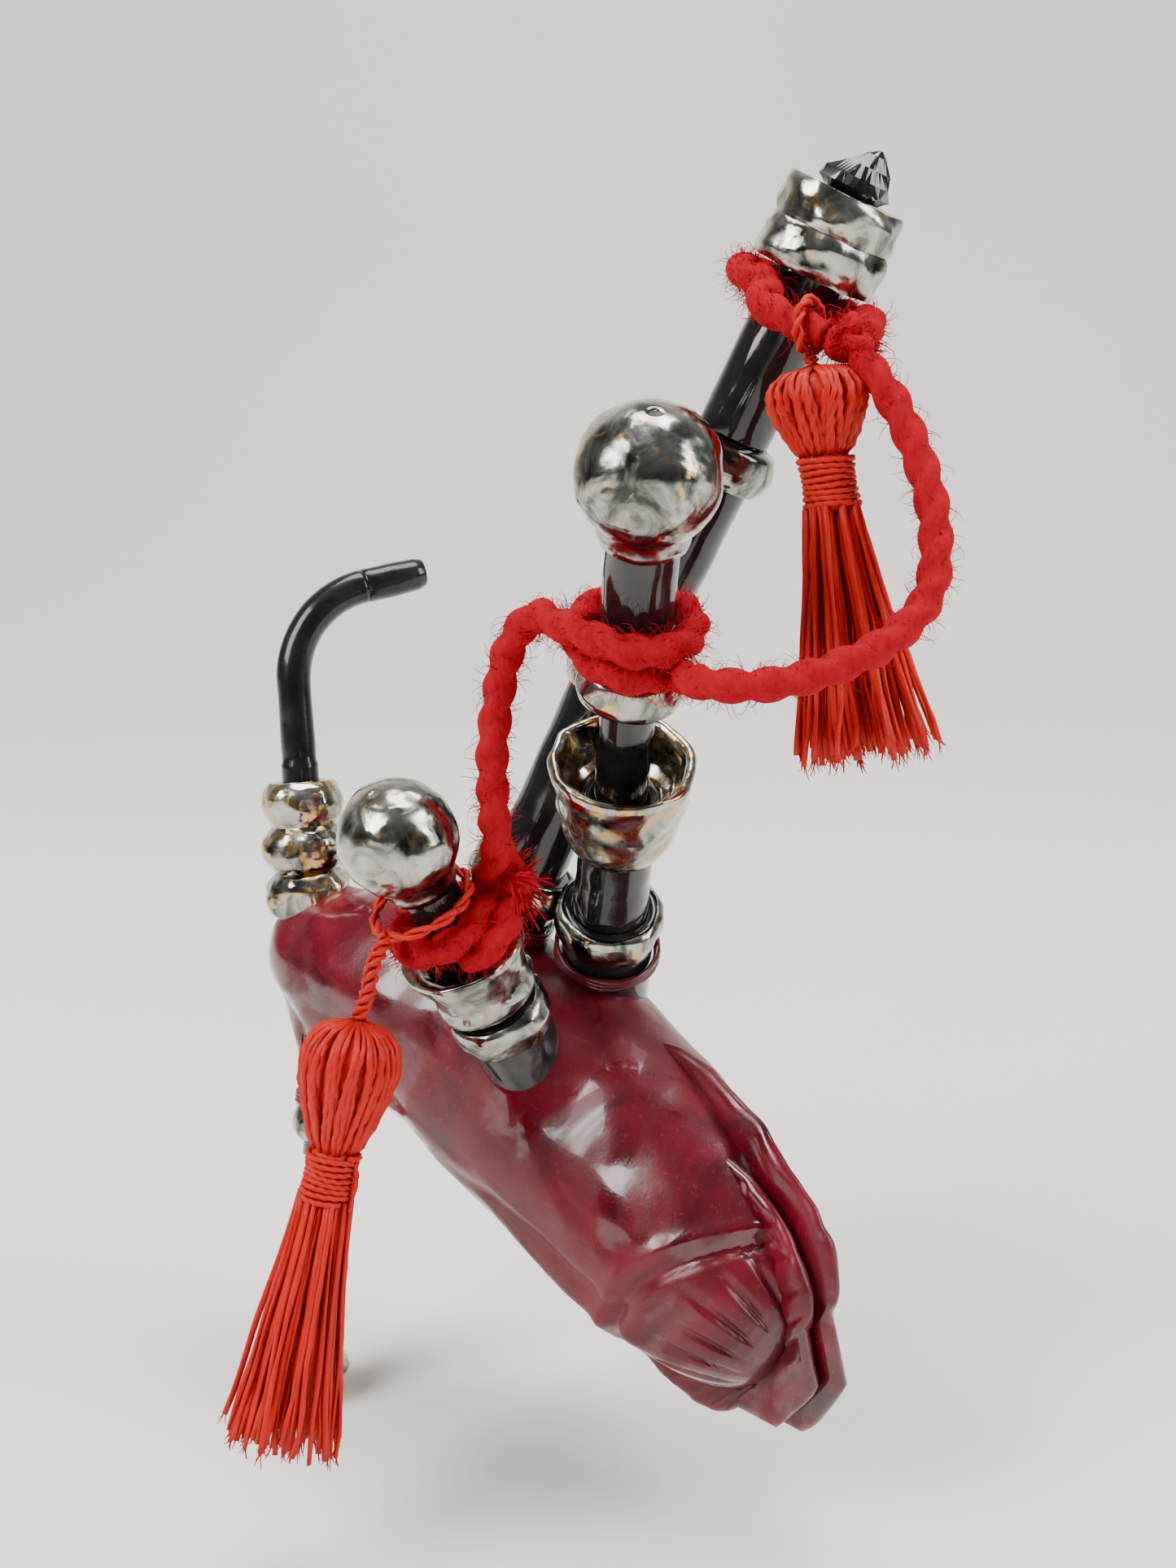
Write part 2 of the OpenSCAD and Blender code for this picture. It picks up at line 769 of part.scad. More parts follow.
// Each tassel is built along its own axis, from its top point towards the ends of its threads
module tassel_head(height) {
    color(scarlet)
        translate([0, 0, height / 2])
            scale([head_r / height * 2, head_r / height * 2, 1])
                sphere(r = height / 2);
}

module tassel_binding(from) {
    color(scarlet) translate([0, 0, from]) cylinder(h = bind_h - gap, r = bind_r);
}

module tassel_skirt(from, len, end_r) {
    color(scarlet) translate([0, 0, from]) cylinder(h = len, r1 = bind_r, r2 = end_r);
}

module front_tassel_loop() {
    low = beside(front_at, front_turn, front_loop_z, front_loop_r + front_loop_shift, 90);
    hang = front_head_top - low;
    color(scarlet) {
        on(front_at, front_turn)
            translate([front_loop_shift, 0, front_loop_z])
                rotate_extrude() translate([front_loop_r, 0]) circle(r = loop_d / 2);
        translate(low)
            rotate([0, acos(hang.z / norm(hang)), atan2(hang.y, hang.x)])
                cylinder(h = norm(hang) - joint_gap, r = 0.7);
    }
}

module front_tassel_head() {
    on(front_head_top, front_tassel_turn) tassel_head(front_head_len);
}

module front_tassel_binding() {
    on(front_head_top, front_tassel_turn) tassel_binding(front_head_len + gap);
}

module front_tassel_skirt() {
    on(front_head_top, front_tassel_turn) tassel_skirt(front_head_len + gap + bind_h, front_skirt_len, front_skirt_r);
}

module bass_tassel_loop() {
    color(scarlet)
        translate(bass_loop_at)
            rotate([90, 0, 60])
                rotate_extrude() translate([bass_loop_r, 0]) circle(r = loop_d / 2);
}

module bass_tassel_head() {
    on(bass_head_top, bass_tassel_turn) tassel_head(bass_head_len);
}

module bass_tassel_binding() {
    on(bass_head_top, bass_tassel_turn) tassel_binding(bass_head_len + gap);
}

module bass_tassel_skirt() {
    on(bass_head_top, bass_tassel_turn) tassel_skirt(bass_head_len + gap + bind_h, bass_skirt_len, bass_skirt_r);
}

bag();
bag_seam_front();
bag_seam_rear();
stock_ties();
bass_stock();
outer_tenor_stock();
front_tenor_stock();
blowpipe_stock();
chanter_stock();
bass_stock_ring();
outer_tenor_stock_ring();
front_tenor_stock_ring();
chanter_stock_ring();
bass_reed();
bass_lower_section();
bass_lower_mount();
bass_middle_section();
bass_middle_ferrule();
bass_middle_hemp();
bass_top_section();
bass_top_hemp();
bass_cap();
bass_finial();
outer_tenor_reed();
outer_tenor_lower_section();
outer_tenor_cup();
outer_tenor_upper_section();
outer_tenor_ferrule();
outer_tenor_hemp();
outer_tenor_ball();
front_tenor_reed();
front_tenor_lower_section();
front_tenor_cup();
front_tenor_upper_section();
front_tenor_hemp();
front_tenor_ball();
blowpipe();
blowpipe_mouthpiece();
blowpipe_hemp();
blowpipe_valve();
chanter();
chanter_sole();
chanter_hemp();
chanter_reed();
drone_cord();
cord_top_knot();
cord_front_knot();
front_tassel_loop();
front_tassel_head();
front_tassel_binding();
front_tassel_skirt();
bass_tassel_loop();
bass_tassel_head();
bass_tassel_binding();
bass_tassel_skirt();
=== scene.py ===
import math
import random
import bpy
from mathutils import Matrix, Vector, noise


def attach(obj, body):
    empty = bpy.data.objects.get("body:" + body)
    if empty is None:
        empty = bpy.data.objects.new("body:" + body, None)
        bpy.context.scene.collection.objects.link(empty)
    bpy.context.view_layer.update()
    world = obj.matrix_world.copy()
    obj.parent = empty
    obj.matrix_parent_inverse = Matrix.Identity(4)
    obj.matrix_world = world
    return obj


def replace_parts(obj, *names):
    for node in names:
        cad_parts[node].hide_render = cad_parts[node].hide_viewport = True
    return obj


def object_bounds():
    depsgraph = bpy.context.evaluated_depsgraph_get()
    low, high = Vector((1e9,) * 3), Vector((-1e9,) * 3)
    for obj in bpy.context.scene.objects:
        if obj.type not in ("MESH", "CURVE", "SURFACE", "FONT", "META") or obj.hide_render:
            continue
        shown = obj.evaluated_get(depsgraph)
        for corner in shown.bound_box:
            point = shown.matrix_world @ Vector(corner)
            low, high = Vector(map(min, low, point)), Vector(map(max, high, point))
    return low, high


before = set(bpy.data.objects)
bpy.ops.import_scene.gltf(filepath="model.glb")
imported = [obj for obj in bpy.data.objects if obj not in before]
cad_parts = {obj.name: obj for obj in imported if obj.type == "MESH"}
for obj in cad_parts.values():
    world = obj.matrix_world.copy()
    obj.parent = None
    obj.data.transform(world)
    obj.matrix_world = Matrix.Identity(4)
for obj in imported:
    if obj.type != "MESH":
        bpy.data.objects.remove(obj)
cad_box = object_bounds()
rng = random.Random(21)
MM = 0.001


# ---------- places along the pipes, the same numbers as the CAD, in millimetres ----------

def mm(x, y, z):
    return Vector((x, y, z)) * MM


class Pipe:
    """A pipe's axis: where it leaves the bag, its tilt from upright and the way it leans."""

    def __init__(self, at, tilt, way):
        self.at = mm(*at)
        t, a = math.radians(tilt), math.radians(way)
        self.axis = Vector((math.sin(t) * math.cos(a), math.sin(t) * math.sin(a), math.cos(t)))
        self.right = Vector((-math.sin(a), math.cos(a), 0))
        self.front = Vector((math.cos(t) * math.cos(a), math.cos(t) * math.sin(a), -math.sin(t)))

    def spot(self, z, r, angle):
        """A point z along the pipe and r out, at an angle from its right-hand side towards the front."""
        a = math.radians(angle)
        return self.at + (self.axis * z + (self.right * math.cos(a) + self.front * math.sin(a)) * r) * MM


BASS = Pipe((-14, 20, 18), 25.5, -13)
OUTER = Pipe((-3.4, 18.6, 16), 30, -80)
FRONT = Pipe((-10.1, 9.7, 12.6), 32, -130)
BLOW = Pipe((-31.5, 28, 12), 10, 115)
CHANTER = Pipe((-28.7, 24.5, 6.6), 168, -110)
FRONT_TASSEL = Pipe((-21.5, -2.5, 19.2), 166, -137)
BASS_TASSEL = Pipe((13, 4.2, 69.3), 169, -34)
YARN_D = 2.5
WRAP_R = YARN_D / 2 + 0.25
YARN_CLEFT = 0.27


# ---------- mesh building ----------

def mesh_object(name, verts, faces, body, material, smooth=True):
    mesh = bpy.data.meshes.new(name)
    mesh.from_pydata([tuple(v) for v in verts], [], faces)
    mesh.validate()
    mesh.polygons.foreach_set("use_smooth", [smooth] * len(mesh.polygons))
    mesh.materials.append(material)
    obj = bpy.data.objects.new(name, mesh)
    bpy.context.collection.objects.link(obj)
    if body:
        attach(obj, body)
    return obj


def stitch(rings, loop=False):
    """Vertices and faces of a skin over rings of points; loop joins the last ring to the first."""
    sides = len(rings[0])
    verts = [p for ring in rings for p in ring]
    faces = []
    count = len(rings)
    for i in range(count if loop else count - 1):
        j = (i + 1) % count
        for k in range(sides):
            n = (k + 1) % sides
            faces.append((i * sides + k, i * sides + n, j * sides + n, j * sides + k))
    if not loop:
        faces.append(tuple(reversed(range(sides))))
        faces.append(tuple(range((count - 1) * sides, count * sides)))
    return verts, faces


def soft_edges(profile, cut=0.18):
    """Each corner of a turned profile eased by a small bevel."""
    out = []
    n = len(profile)
    for i in range(n):
        here = Vector(profile[i])
        back, ahead = Vector(profile[i - 1]) - here, Vector(profile[(i + 1) % n]) - here
        for side in (back, ahead):
            out.append(here + side.normalized() * min(cut, side.length * 0.3))
        out.insert(len(out) - 1, here + (back.normalized() + ahead.normalized()) * cut * 0.22)
    return out


def split_long(profile, longest=0.9):
    """Extra points on long straight stretches, so that unevenness shows there too."""
    out = []
    n = len(profile)
    for i in range(n):
        a, b = Vector(profile[i]), Vector(profile[(i + 1) % n])
        steps = max(1, math.ceil((b - a).length / longest))
        out += [a.lerp(b, s / steps) for s in range(steps)]
    return out


def uneven(p, size, amount, seed):
    """Hand-made unevenness: how far a point at p in millimetres is pushed, for lumps of a given size."""
    q = p / size + Vector((seed * 7.3, seed * 3.1, seed * 5.7))
    return amount * (noise.noise(q) + 0.45 * noise.noise(q * 2.3))


def turned(name, pipe, profile, body, material, replaces=(), lumps=(3.0, 0.1), seed=1, sides=64,
           keep_bore=None):
    """A turned piece with hand-made lumps, from a closed loop of (z, r) points.
    A bore stays true: nothing within keep_bore of the axis is pushed about."""
    size, amount = lumps
    rings = []
    for z, r in profile:
        ring = []
        for k in range(sides):
            angle = 360 * k / sides
            flat = Vector((math.cos(math.radians(angle)) * r, math.sin(math.radians(angle)) * r, z))
            push = 0 if keep_bore is not None and r <= keep_bore else uneven(flat, size, amount, seed)
            ring.append(pipe.spot(z + push * 0.3, r + push, angle))
        rings.append(ring)
    verts, faces = stitch(rings, loop=True)
    obj = mesh_object(name, verts, faces, body, material)
    if replaces:
        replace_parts(obj, *replaces)
    return obj


def smooth_path(points, steps=8):
    """A Catmull-Rom curve through the points."""
    pts = [points[0] * 2 - points[1]] + list(points) + [points[-1] * 2 - points[-2]]
    out = []
    for i in range(1, len(pts) - 2):
        p0, p1, p2, p3 = pts[i - 1:i + 3]
        for s in range(steps):
            t = s / steps
            out.append(0.5 * (2 * p1 + (p2 - p0) * t + (2 * p0 - 5 * p1 + 4 * p2 - p3) * t * t
                              + (3 * p1 - p0 - 3 * p2 + p3) * t * t * t))
    out.append(points[-1].copy())
    return out


def frames_along(path):
    """(direction, side, up) at each point of a path, carried along it without twist."""
    out = []
    side = None
    for i in range(len(path)):
        d = (path[min(i + 1, len(path) - 1)] - path[max(i - 1, 0)]).normalized()
        if side is None:
            side = d.orthogonal().normalized()
        side = (side - side.dot(d) * d).normalized()
        out.append((d, side, d.cross(side)))
    return out


PLY_REACH = 1.04  # how far a twisted strand stands out, as a share of the yarn's radius


def tube(path, radius, sides=8, ply=0, pitch=5.0, phase=0.0, cleft=0.42):
    """Rings of a tube along a path in metres. radius is in millimetres, or a function of the share of the way.
    With ply 2 or 3 the section is that many twisted strands, with a deeper cleft between them as cleft grows."""
    rings = []
    gone = 0.0
    for i, (_, side, up) in enumerate(frames_along(path)):
        if i:
            gone += (path[i] - path[i - 1]).length / MM
        r = radius(i / (len(path) - 1)) if callable(radius) else radius
        ring = []
        for k in range(sides):
            a = 2 * math.pi * k / sides
            reach = 1.0
            if ply:
                turn = a - 2 * math.pi * gone / pitch - phase
                step = 2 * math.pi / ply
                off = (turn + step / 2) % step - step / 2
                strand = max(0.0, (PLY_REACH - cleft) ** 2 - (cleft * math.sin(off)) ** 2)
                reach = cleft * math.cos(off) + math.sqrt(strand)
            ring.append(path[i] + (side * math.cos(a) + up * math.sin(a)) * r * reach * MM)
        rings.append(ring)
    return rings


class Heap:
    """Many small meshes gathered into one object."""

    def __init__(self):
        self.verts, self.faces = [], []

    def add(self, verts, faces):
        n = len(self.verts)
        self.verts += verts
        self.faces += [tuple(i + n for i in f) for f in faces]

    def tube(self, path, radius, sides=5, **twist):
        self.add(*stitch(tube(path, radius, sides, **twist)))

    def make(self, name, body, material):
        return mesh_object(name, self.verts, self.faces, body, material)


# ---------- camera ----------

def make_camera():
    data = bpy.data.cameras.new("camera")
    data.lens = 44
    data.sensor_width = 36
    data.clip_start = 0.005
    cam = bpy.data.objects.new("camera", data)
    bpy.context.collection.objects.link(cam)
    cam.location = mm(6, -143.5, 71)
    pitch = math.radians(22)
    ahead, up = Vector((0, math.cos(pitch), -math.sin(pitch))), Vector((0, math.sin(pitch), math.cos(pitch)))
    look = ahead + Vector((-0.066, 0, 0)) + up * 0.158
    cam.rotation_euler = look.to_track_quat("-Z", "Y").to_euler()
    bpy.context.scene.camera = cam


make_camera()


# ---------- materials ----------

class Shader:
    """A node material being built."""

    def __init__(self, name):
        self.mat = bpy.data.materials.new(name)
        self.mat.use_nodes = True
        self.tree = self.mat.node_tree
        self.bsdf = self.tree.nodes["Principled BSDF"]
        self.coords = self.tree.nodes.new("ShaderNodeTexCoord").outputs["Object"]
        self.heights = None

    def set(self, **values):
        for key, value in values.items():
            self.bsdf.inputs[key.replace("_", " ")].default_value = value

    def noise(self, scale, detail=4.0, distortion=0.0, stretch=None):
        node = self.tree.nodes.new("ShaderNodeTexNoise")
        node.inputs["Scale"].default_value = scale
        node.inputs["Detail"].default_value = detail
        node.inputs["Roughness"].default_value = 0.55
        node.inputs["Distortion"].default_value = distortion
        source = self.coords
        if stretch:
            mapping = self.tree.nodes.new("ShaderNodeMapping")
            mapping.inputs["Scale"].default_value = stretch
            self.tree.links.new(source, mapping.inputs["Vector"])
            source = mapping.outputs["Vector"]
        self.tree.links.new(source, node.inputs["Vector"])
        return node.outputs["Fac"]

    def ramp(self, fac, stops):
        """stops: (position, grey value or colour) pairs."""
        node = self.tree.nodes.new("ShaderNodeValToRGB")
        ramp = node.color_ramp
        while len(ramp.elements) < len(stops):
            ramp.elements.new(0.5)
        for element, (pos, col) in zip(ramp.elements, stops):
            element.position = pos
            element.color = (col, col, col, 1) if isinstance(col, (int, float)) else (*col, 1)
        self.tree.links.new(fac, node.inputs["Fac"])
        return node.outputs["Color"]

    def mix(self, fac, a, b):
        node = self.tree.nodes.new("ShaderNodeMix")
        node.data_type = "RGBA"
        self.tree.links.new(fac, node.inputs["Factor"])
        for key, value in (("A", a), ("B", b)):
            socket = [s for s in node.inputs if s.name == key and s.type == "RGBA"][0]
            if isinstance(value, tuple):
                socket.default_value = (*value, 1)
            else:
                self.tree.links.new(value, socket)
        return [s for s in node.outputs if s.type == "RGBA"][0]

    def plug(self, key, output):
        self.tree.links.new(output, self.bsdf.inputs[key])

    def bump(self, height, distance, strength=1.0):
        node = self.tree.nodes.new("ShaderNodeBump")
        node.inputs["Strength"].default_value = strength
        node.inputs["Distance"].default_value = distance
        self.tree.links.new(height, node.inputs["Height"])
        if self.heights:
            self.tree.links.new(self.heights, node.inputs["Normal"])
        self.heights = node.outputs["Normal"]
        self.tree.links.new(self.heights, self.bsdf.inputs["Normal"])


def black_glaze(name, rough=(0.05, 0.14), coat=0.55):
    s = Shader(name)
    s.plug("Base Color", s.ramp(s.noise(260, 5, 0.6), [
        (0.35, (0.004, 0.004, 0.005)), (0.62, (0.012, 0.011, 0.011)), (0.8, (0.035, 0.028, 0.024))]))
    s.plug("Roughness", s.ramp(s.noise(420, 3), [(0.35, rough[0]), (0.75, rough[1])]))
    s.set(Coat_Weight=coat, Coat_Roughness=0.03, IOR=1.45, Specular_IOR_Level=0.3)
    s.bump(s.noise(210, 2, 0.4), 0.0004, 0.35)
    s.bump(s.noise(2600, 2), 0.00003, 0.2)
    return s.mat


def lustre(name, dark, warm_reflection_level):
    """Platinum lustre over glaze: mirror-like, with dark patches that are partly thin lustre and partly painted
    reflection of dark surroundings, and gold patches that are painted warm reflection.
    """
    s = Shader(name)
    # dark patches in the base colour: partly thin lustre, partly painted reflection of the dark surroundings
    tone = s.ramp(s.noise(230, 5, 1.6), [(dark - 0.08, (0.028, 0.032, 0.027)), (dark, (0.12, 0.125, 0.108)),
                                         (dark + 0.1, (0.33, 0.325, 0.295)), (0.80, (0.58, 0.57, 0.53))])
    # gold patches in the base colour: painted reflection of warm surroundings
    painted_warm_reflection = s.ramp(s.noise(330, 3, 2.2), [(warm_reflection_level, 0.0), (warm_reflection_level + 0.05, 0.85)])
    s.plug("Base Color", s.mix(painted_warm_reflection, tone, (0.55, 0.36, 0.13)))
    s.plug("Roughness", s.ramp(s.noise(520, 4, 0.5), [(0.3, 0.08), (0.55, 0.21), (0.8, 0.45)]))
    s.set(Metallic=1.0, Coat_Weight=0.5, Coat_Roughness=0.05)
    s.bump(s.noise(260, 2, 0.8), 0.0005, 0.45)
    s.bump(s.noise(1500, 3), 0.00005, 0.25)
    return s.mat


def crimson_glaze(name):
    s = Shader(name)
    deep = s.ramp(s.noise(120, 5, 0.8), [(0.3, (0.035, 0.0008, 0.0035)), (0.5, (0.095, 0.0012, 0.007)),
                                         (0.72, (0.15, 0.003, 0.013))])
    speck = s.ramp(s.noise(2400, 3), [(0.60, 0.0), (0.72, 0.55)])
    s.plug("Base Color", s.mix(speck, deep, (0.20, 0.018, 0.032)))
    s.plug("Roughness", s.ramp(s.noise(95, 4, 1.0), [(0.40, 0.14), (0.50, 0.36), (0.7, 0.46)]))
    s.plug("Coat Weight", s.ramp(s.noise(95, 4, 1.0), [(0.42, 0.7), (0.5, 0.08)]))
    s.set(Coat_Roughness=0.06, IOR=1.5, Sheen_Weight=0.04, Sheen_Roughness=0.4,
          Specular_IOR_Level=0.35)
    s.bump(s.noise(150, 2, 0.5), 0.0004, 0.22)
    s.bump(s.noise(3200, 3), 0.00004, 0.35)
    return s.mat


def yarn(name, colour, light):
    """Fuzzy wool: fine fibres that run along the strand."""
    fibre = 2600
    s = Shader(name)
    s.plug("Base Color", s.mix(s.noise(fibre, 3, 0.3, (1, 1, 0.35)), colour, light))
    s.plug("Roughness", s.ramp(s.noise(900, 3), [(0.3, 0.72), (0.7, 0.95)]))
    s.set(Sheen_Weight=0.12, Sheen_Roughness=0.5, Sheen_Tint=(*light, 1), Specular_IOR_Level=0.12)
    s.bump(s.noise(fibre, 4, 0.2, (1, 1, 0.3)), 0.00012, 0.8)
    return s.mat


def floss(name):
    """Scarlet viscose thread with a strong sheen."""
    s = Shader(name)
    s.plug("Base Color", s.mix(s.noise(700, 4, 0.2, (1, 1, 0.25)), (0.31, 0.0015, 0.0003), (0.58, 0.008, 0.0008)))
    s.plug("Roughness", s.ramp(s.noise(1800, 3), [(0.3, 0.42), (0.75, 0.62)]))
    s.set(Sheen_Weight=0.06, Sheen_Roughness=0.3, Sheen_Tint=(1.0, 0.16, 0.05, 1), Anisotropic=0.6,
          Specular_IOR_Level=0.28)
    s.bump(s.noise(5200, 3, 0.1, (1, 1, 0.2)), 0.00006, 0.7)
    return s.mat


def dry(name, dark, pale, scale, stretch, rough):
    """Hidden plain materials such as cane, hemp and leather, with their grain."""
    s = Shader(name)
    s.plug("Base Color", s.mix(s.noise(scale, 5, 0.6, stretch), dark, pale))
    s.plug("Roughness", s.ramp(s.noise(scale * 2, 3), [(0.3, rough - 0.12), (0.7, rough)]))
    s.bump(s.noise(scale * 2.5, 4, 0.2, stretch), 0.00008, 0.6)
    return s.mat


BLACK = black_glaze("black_glaze")
SATIN = black_glaze("black_satin_glaze", (0.22, 0.36), 0.35)
SILVER = lustre("platinum_lustre", 0.43, 0.59)
MIRROR = lustre("platinum_mirror", 0.42, 0.60)
# a lower level gives more gold patches of painted warm reflection, used on the cups and the blowpipe stock
WARM_REFLECTED_SILVER = lustre("platinum_warm_reflected", 0.41, 0.50)
CRIMSON = crimson_glaze("crimson_glaze")
YARN = yarn("crimson_yarn", (0.22, 0.001, 0.005), (0.42, 0.003, 0.014))
FUZZ = yarn("crimson_fuzz", (0.28, 0.0015, 0.007), (0.48, 0.004, 0.016))
FLOSS = floss("scarlet_floss")
CANE = dry("cane", (0.50, 0.30, 0.10), (0.72, 0.52, 0.24), 900, (1, 1, 0.15), 0.6)
HEMP = dry("hemp_thread", (0.50, 0.30, 0.07), (0.78, 0.56, 0.20), 1600, (1, 1, 3), 0.9)
LEATHER = dry("leather_flap", (0.06, 0.018, 0.008), (0.14, 0.05, 0.02), 1300, (1, 1, 1), 0.8)


# ---------- yarn drone cord ----------

def wrap(pipe, z0, z1, r, a0, a1, n):
    return [pipe.spot(z0 + (z1 - z0) * i / n, r, a0 + (a1 - a0) * i / n) for i in range(n + 1)]


route_bass = [mm(14, 4.2, 71.5), mm(11.5, 5.5, 72.5), mm(9, 7.5, 74)]
bass_wrap = wrap(BASS, 62.6, 62.6, 3.1 + WRAP_R + 0.4, 200, 430, 11)
route_sag = [mm(17.5, 10, 72.5), mm(17, 6.5, 71.5), mm(16.5, 3.5, 70), mm(19, 2, 66.5), mm(21, 0.5, 62),
             mm(22, -1, 57.5), mm(21.5, -3, 53), mm(18.5, -5.5, 50), mm(14, -7, 48), mm(9.5, -7.5, 47),
             mm(5.5, -7, 47)]
outer_wrap = wrap(OUTER, 37.7, 40.6, 2.8 + WRAP_R, 55, 480, 14)
route_left = [mm(-5, -3.5, 50.5), mm(-7.5, -1.5, 51), mm(-9.5, -0.5, 48.5), mm(-10.5, 0, 44.5), mm(-11, 0, 40),
              mm(-11, 0.5, 35.5), mm(-11, 2, 31.8)]
front_wrap = wrap(FRONT, 16.4, 13.35, 2.4 + WRAP_R, 305, 745, 15)
route_end = [mm(-10.5, 0.5, 25.5), mm(-10, 2.5, 27.2)]
route = route_bass + bass_wrap + route_sag + outer_wrap + route_left + front_wrap + route_end


def fray(heap, path, radius, count, long):
    """Loose fibres that stand off a strand of yarn."""
    spots = frames_along(path)
    for _ in range(count):
        i = rng.randrange(1, len(path) - 1)
        d, side, up = spots[i]
        a = rng.uniform(0, 2 * math.pi)
        out = side * math.cos(a) + up * math.sin(a)
        size = rng.uniform(0.3, 1.0) ** 1.5 * long
        drift = (d * rng.uniform(-1, 1) + out.cross(d) * rng.uniform(-0.9, 0.9)).normalized()
        start = path[i] + out * radius * 0.85 * MM
        heap.tube([start + (out * (size * 0.75 * math.sin(s * 1.9)) + drift * size * s
                            + Vector((0, 0, -0.12 * size * s * s))) * MM for s in (0, 0.33, 0.66, 1.0)],
                  lambda t: 0.038 * (1 - 0.6 * t), 3)


def knot_path(centre, size, ahead, up, steps=48):
    """A trefoil knot round a centre."""
    across = ahead.cross(up).normalized()
    points = []
    for i in range(steps + 1):
        t = 2 * math.pi * i / steps
        x, y, z = math.sin(t) + 2 * math.sin(2 * t), math.cos(t) - 2 * math.cos(2 * t), -math.sin(3 * t)
        points.append(centre + (ahead * x + across * y + up * z * 1.1) * size / 3 * MM)
    return points


def make_yarn():
    path = smooth_path(route, 9)
    skin = stitch(tube(path, 1.3, 20, ply=2, pitch=5.5, cleft=YARN_CLEFT))
    cord = mesh_object("yarn_cord", *skin, "bag_and_stocks", YARN)
    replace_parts(cord, "drone_cord")
    fuzz = Heap()
    fray(fuzz, path, 1.2, 4200, 1.6)
    knots = []
    ahead, up = Vector((0.9, -0.3, 0.2)).normalized(), Vector((-0.2, -0.8, 0.5)).normalized()
    for name, node, centre, size, strand in (
            ("yarn_knot_top", "cord_top_knot", mm(15.6, 3.9, 71.2), 1.25, 0.85),
            ("yarn_knot_front", "cord_front_knot", mm(-10.7, 4.2, 29), 1.75, 1.15)):
        loop = knot_path(centre, size, ahead, up)
        heap = Heap()
        heap.tube(loop, strand, 16, ply=2, pitch=5, cleft=YARN_CLEFT)
        knots.append(heap.make(name, "bag_and_stocks", YARN))
        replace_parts(knots[-1], node)
        fray(fuzz, loop, strand, 480, 1.9)
    ends = Heap()
    for _ in range(46):
        spread = Vector((rng.uniform(0.2, 1.0), rng.uniform(-0.9, 0.2), rng.uniform(-0.7, 0.8))).normalized()
        bend = Vector((rng.uniform(-0.3, 0.6), rng.uniform(-0.5, 0.3), rng.uniform(-1.0, 0.2)))
        start = mm(-10.4, 3.6, 28.8) + spread * 1.2 * MM
        size = rng.uniform(1.0, 2.3)
        curl = [start + (spread * size * s + bend * 1.6 * s * s) * MM for s in (0, 0.35, 0.7, 1)]
        ends.tube(smooth_path(curl, 3), lambda t: 0.24 * (1 - 0.75 * t), 6, ply=2, pitch=2.2)
    tuft = ends.make("yarn_tuft", "bag_and_stocks", FUZZ)
    halo = fuzz.make("yarn_fuzz", "bag_and_stocks", FUZZ)


make_yarn()


# ---------- air bag ----------

NECK, MID, TAIL = Vector((-35.5, 29.5, 14.5)), Vector((-10, 24, 12)), Vector((12.4, 0.6, -11.4))
BAG_R, BAG_FLAT = 13.4, 0.93
STOCKS = ((BASS, 4.1), (OUTER, 4.0), (FRONT, 3.6), (BLOW, 3.5), (CHANTER, 3.0))


def bag_frame(t):
    """The bag's middle line at a share t of its length: point, side and up."""
    line = (1 - t) ** 2 * NECK + 2 * t * (1 - t) * MID + t * t * TAIL
    d = ((1 - t) * (MID - NECK) + t * (TAIL - MID)).normalized()
    side = Vector((-d.y, d.x, 0)).normalized()
    return line, side, d.cross(side)


def share_at(u):
    """The share of the bag's length at u, which goes from 0 at the neck to 180 at the tail."""
    return (1 - math.cos(math.radians(u))) / 2


def bag_half(u):
    """The bag's half-height at u."""
    s = math.sin(math.radians(u))
    return BAG_R * (0.54 + 0.33 * share_at(u) + 0.17 * s) * max(0.0, s) ** 0.62


def groove(x, width):
    """A smooth valley 1 deep at 0, fading out at the given width."""
    return math.exp(-(x / width) ** 2)


def bag_skin(u, a):
    """A point on the detailed bag skin in millimetres. a is 180 towards the viewer and 90 up."""
    line, side, up = bag_frame(share_at(u))
    half = bag_half(u)
    flat = side * (BAG_FLAT * math.cos(math.radians(a))) + up * math.sin(math.radians(a))
    p = line + flat * half
    out = flat.normalized()
    push = uneven(p, 11, 0.5, 3) + uneven(p, 3.5, 0.07, 4)
    near = min(1.0, half / 5)
    # where the arm presses, and the soft folds that run from there into the tail
    press = math.exp(-((u - 98) / 26) ** 2) * math.exp(-(((a - 190 + 180) % 360 - 180) / 60) ** 2)
    push -= 0.55 * press
    fold = ((a + 0.55 * (u - 120)) % 360) - 205
    push -= 0.75 * groove(fold, 7) * math.exp(-((u - 118) / 22) ** 2)
    push += 0.45 * groove(fold - 15, 9) * math.exp(-((u - 120) / 24) ** 2)
    # the raised crease that runs down the tail ahead of the crimped seam
    crease = u - 141 - 6 * math.sin(math.radians(a * 1.4))
    push += (0.5 * groove(crease + 2.4, 2.4) - 0.85 * groove(crease, 1.7)) * near
    # short slanted crimps pressed in beyond the crease
    band = math.exp(-((u - 155) / 8.5) ** 2)
    crimp = math.sin(math.radians(a * 18 + u * 9))
    push -= 0.62 * band * max(0.0, crimp) ** 2 * near
    p += out * push * near
    # clay gathered up round each stock
    for pipe, r in STOCKS:
        rel = p - pipe.at / MM
        z = rel.dot(pipe.axis)
        rho = (rel - pipe.axis * z).length
        if -4 < z < 9 and rho < r + 3.2:
            lift = max(0.0, 1 - max(0.0, rho - r) / 3.2)
            p += pipe.axis * 0.75 * lift * lift
        # the skin dips inside the blowpipe's stock, where the flap swings down
        if pipe is BLOW and -4 < z < 9 and rho < 3.1:
            p -= pipe.axis * 4 * min(1.0, 3.1 - rho)
    return p


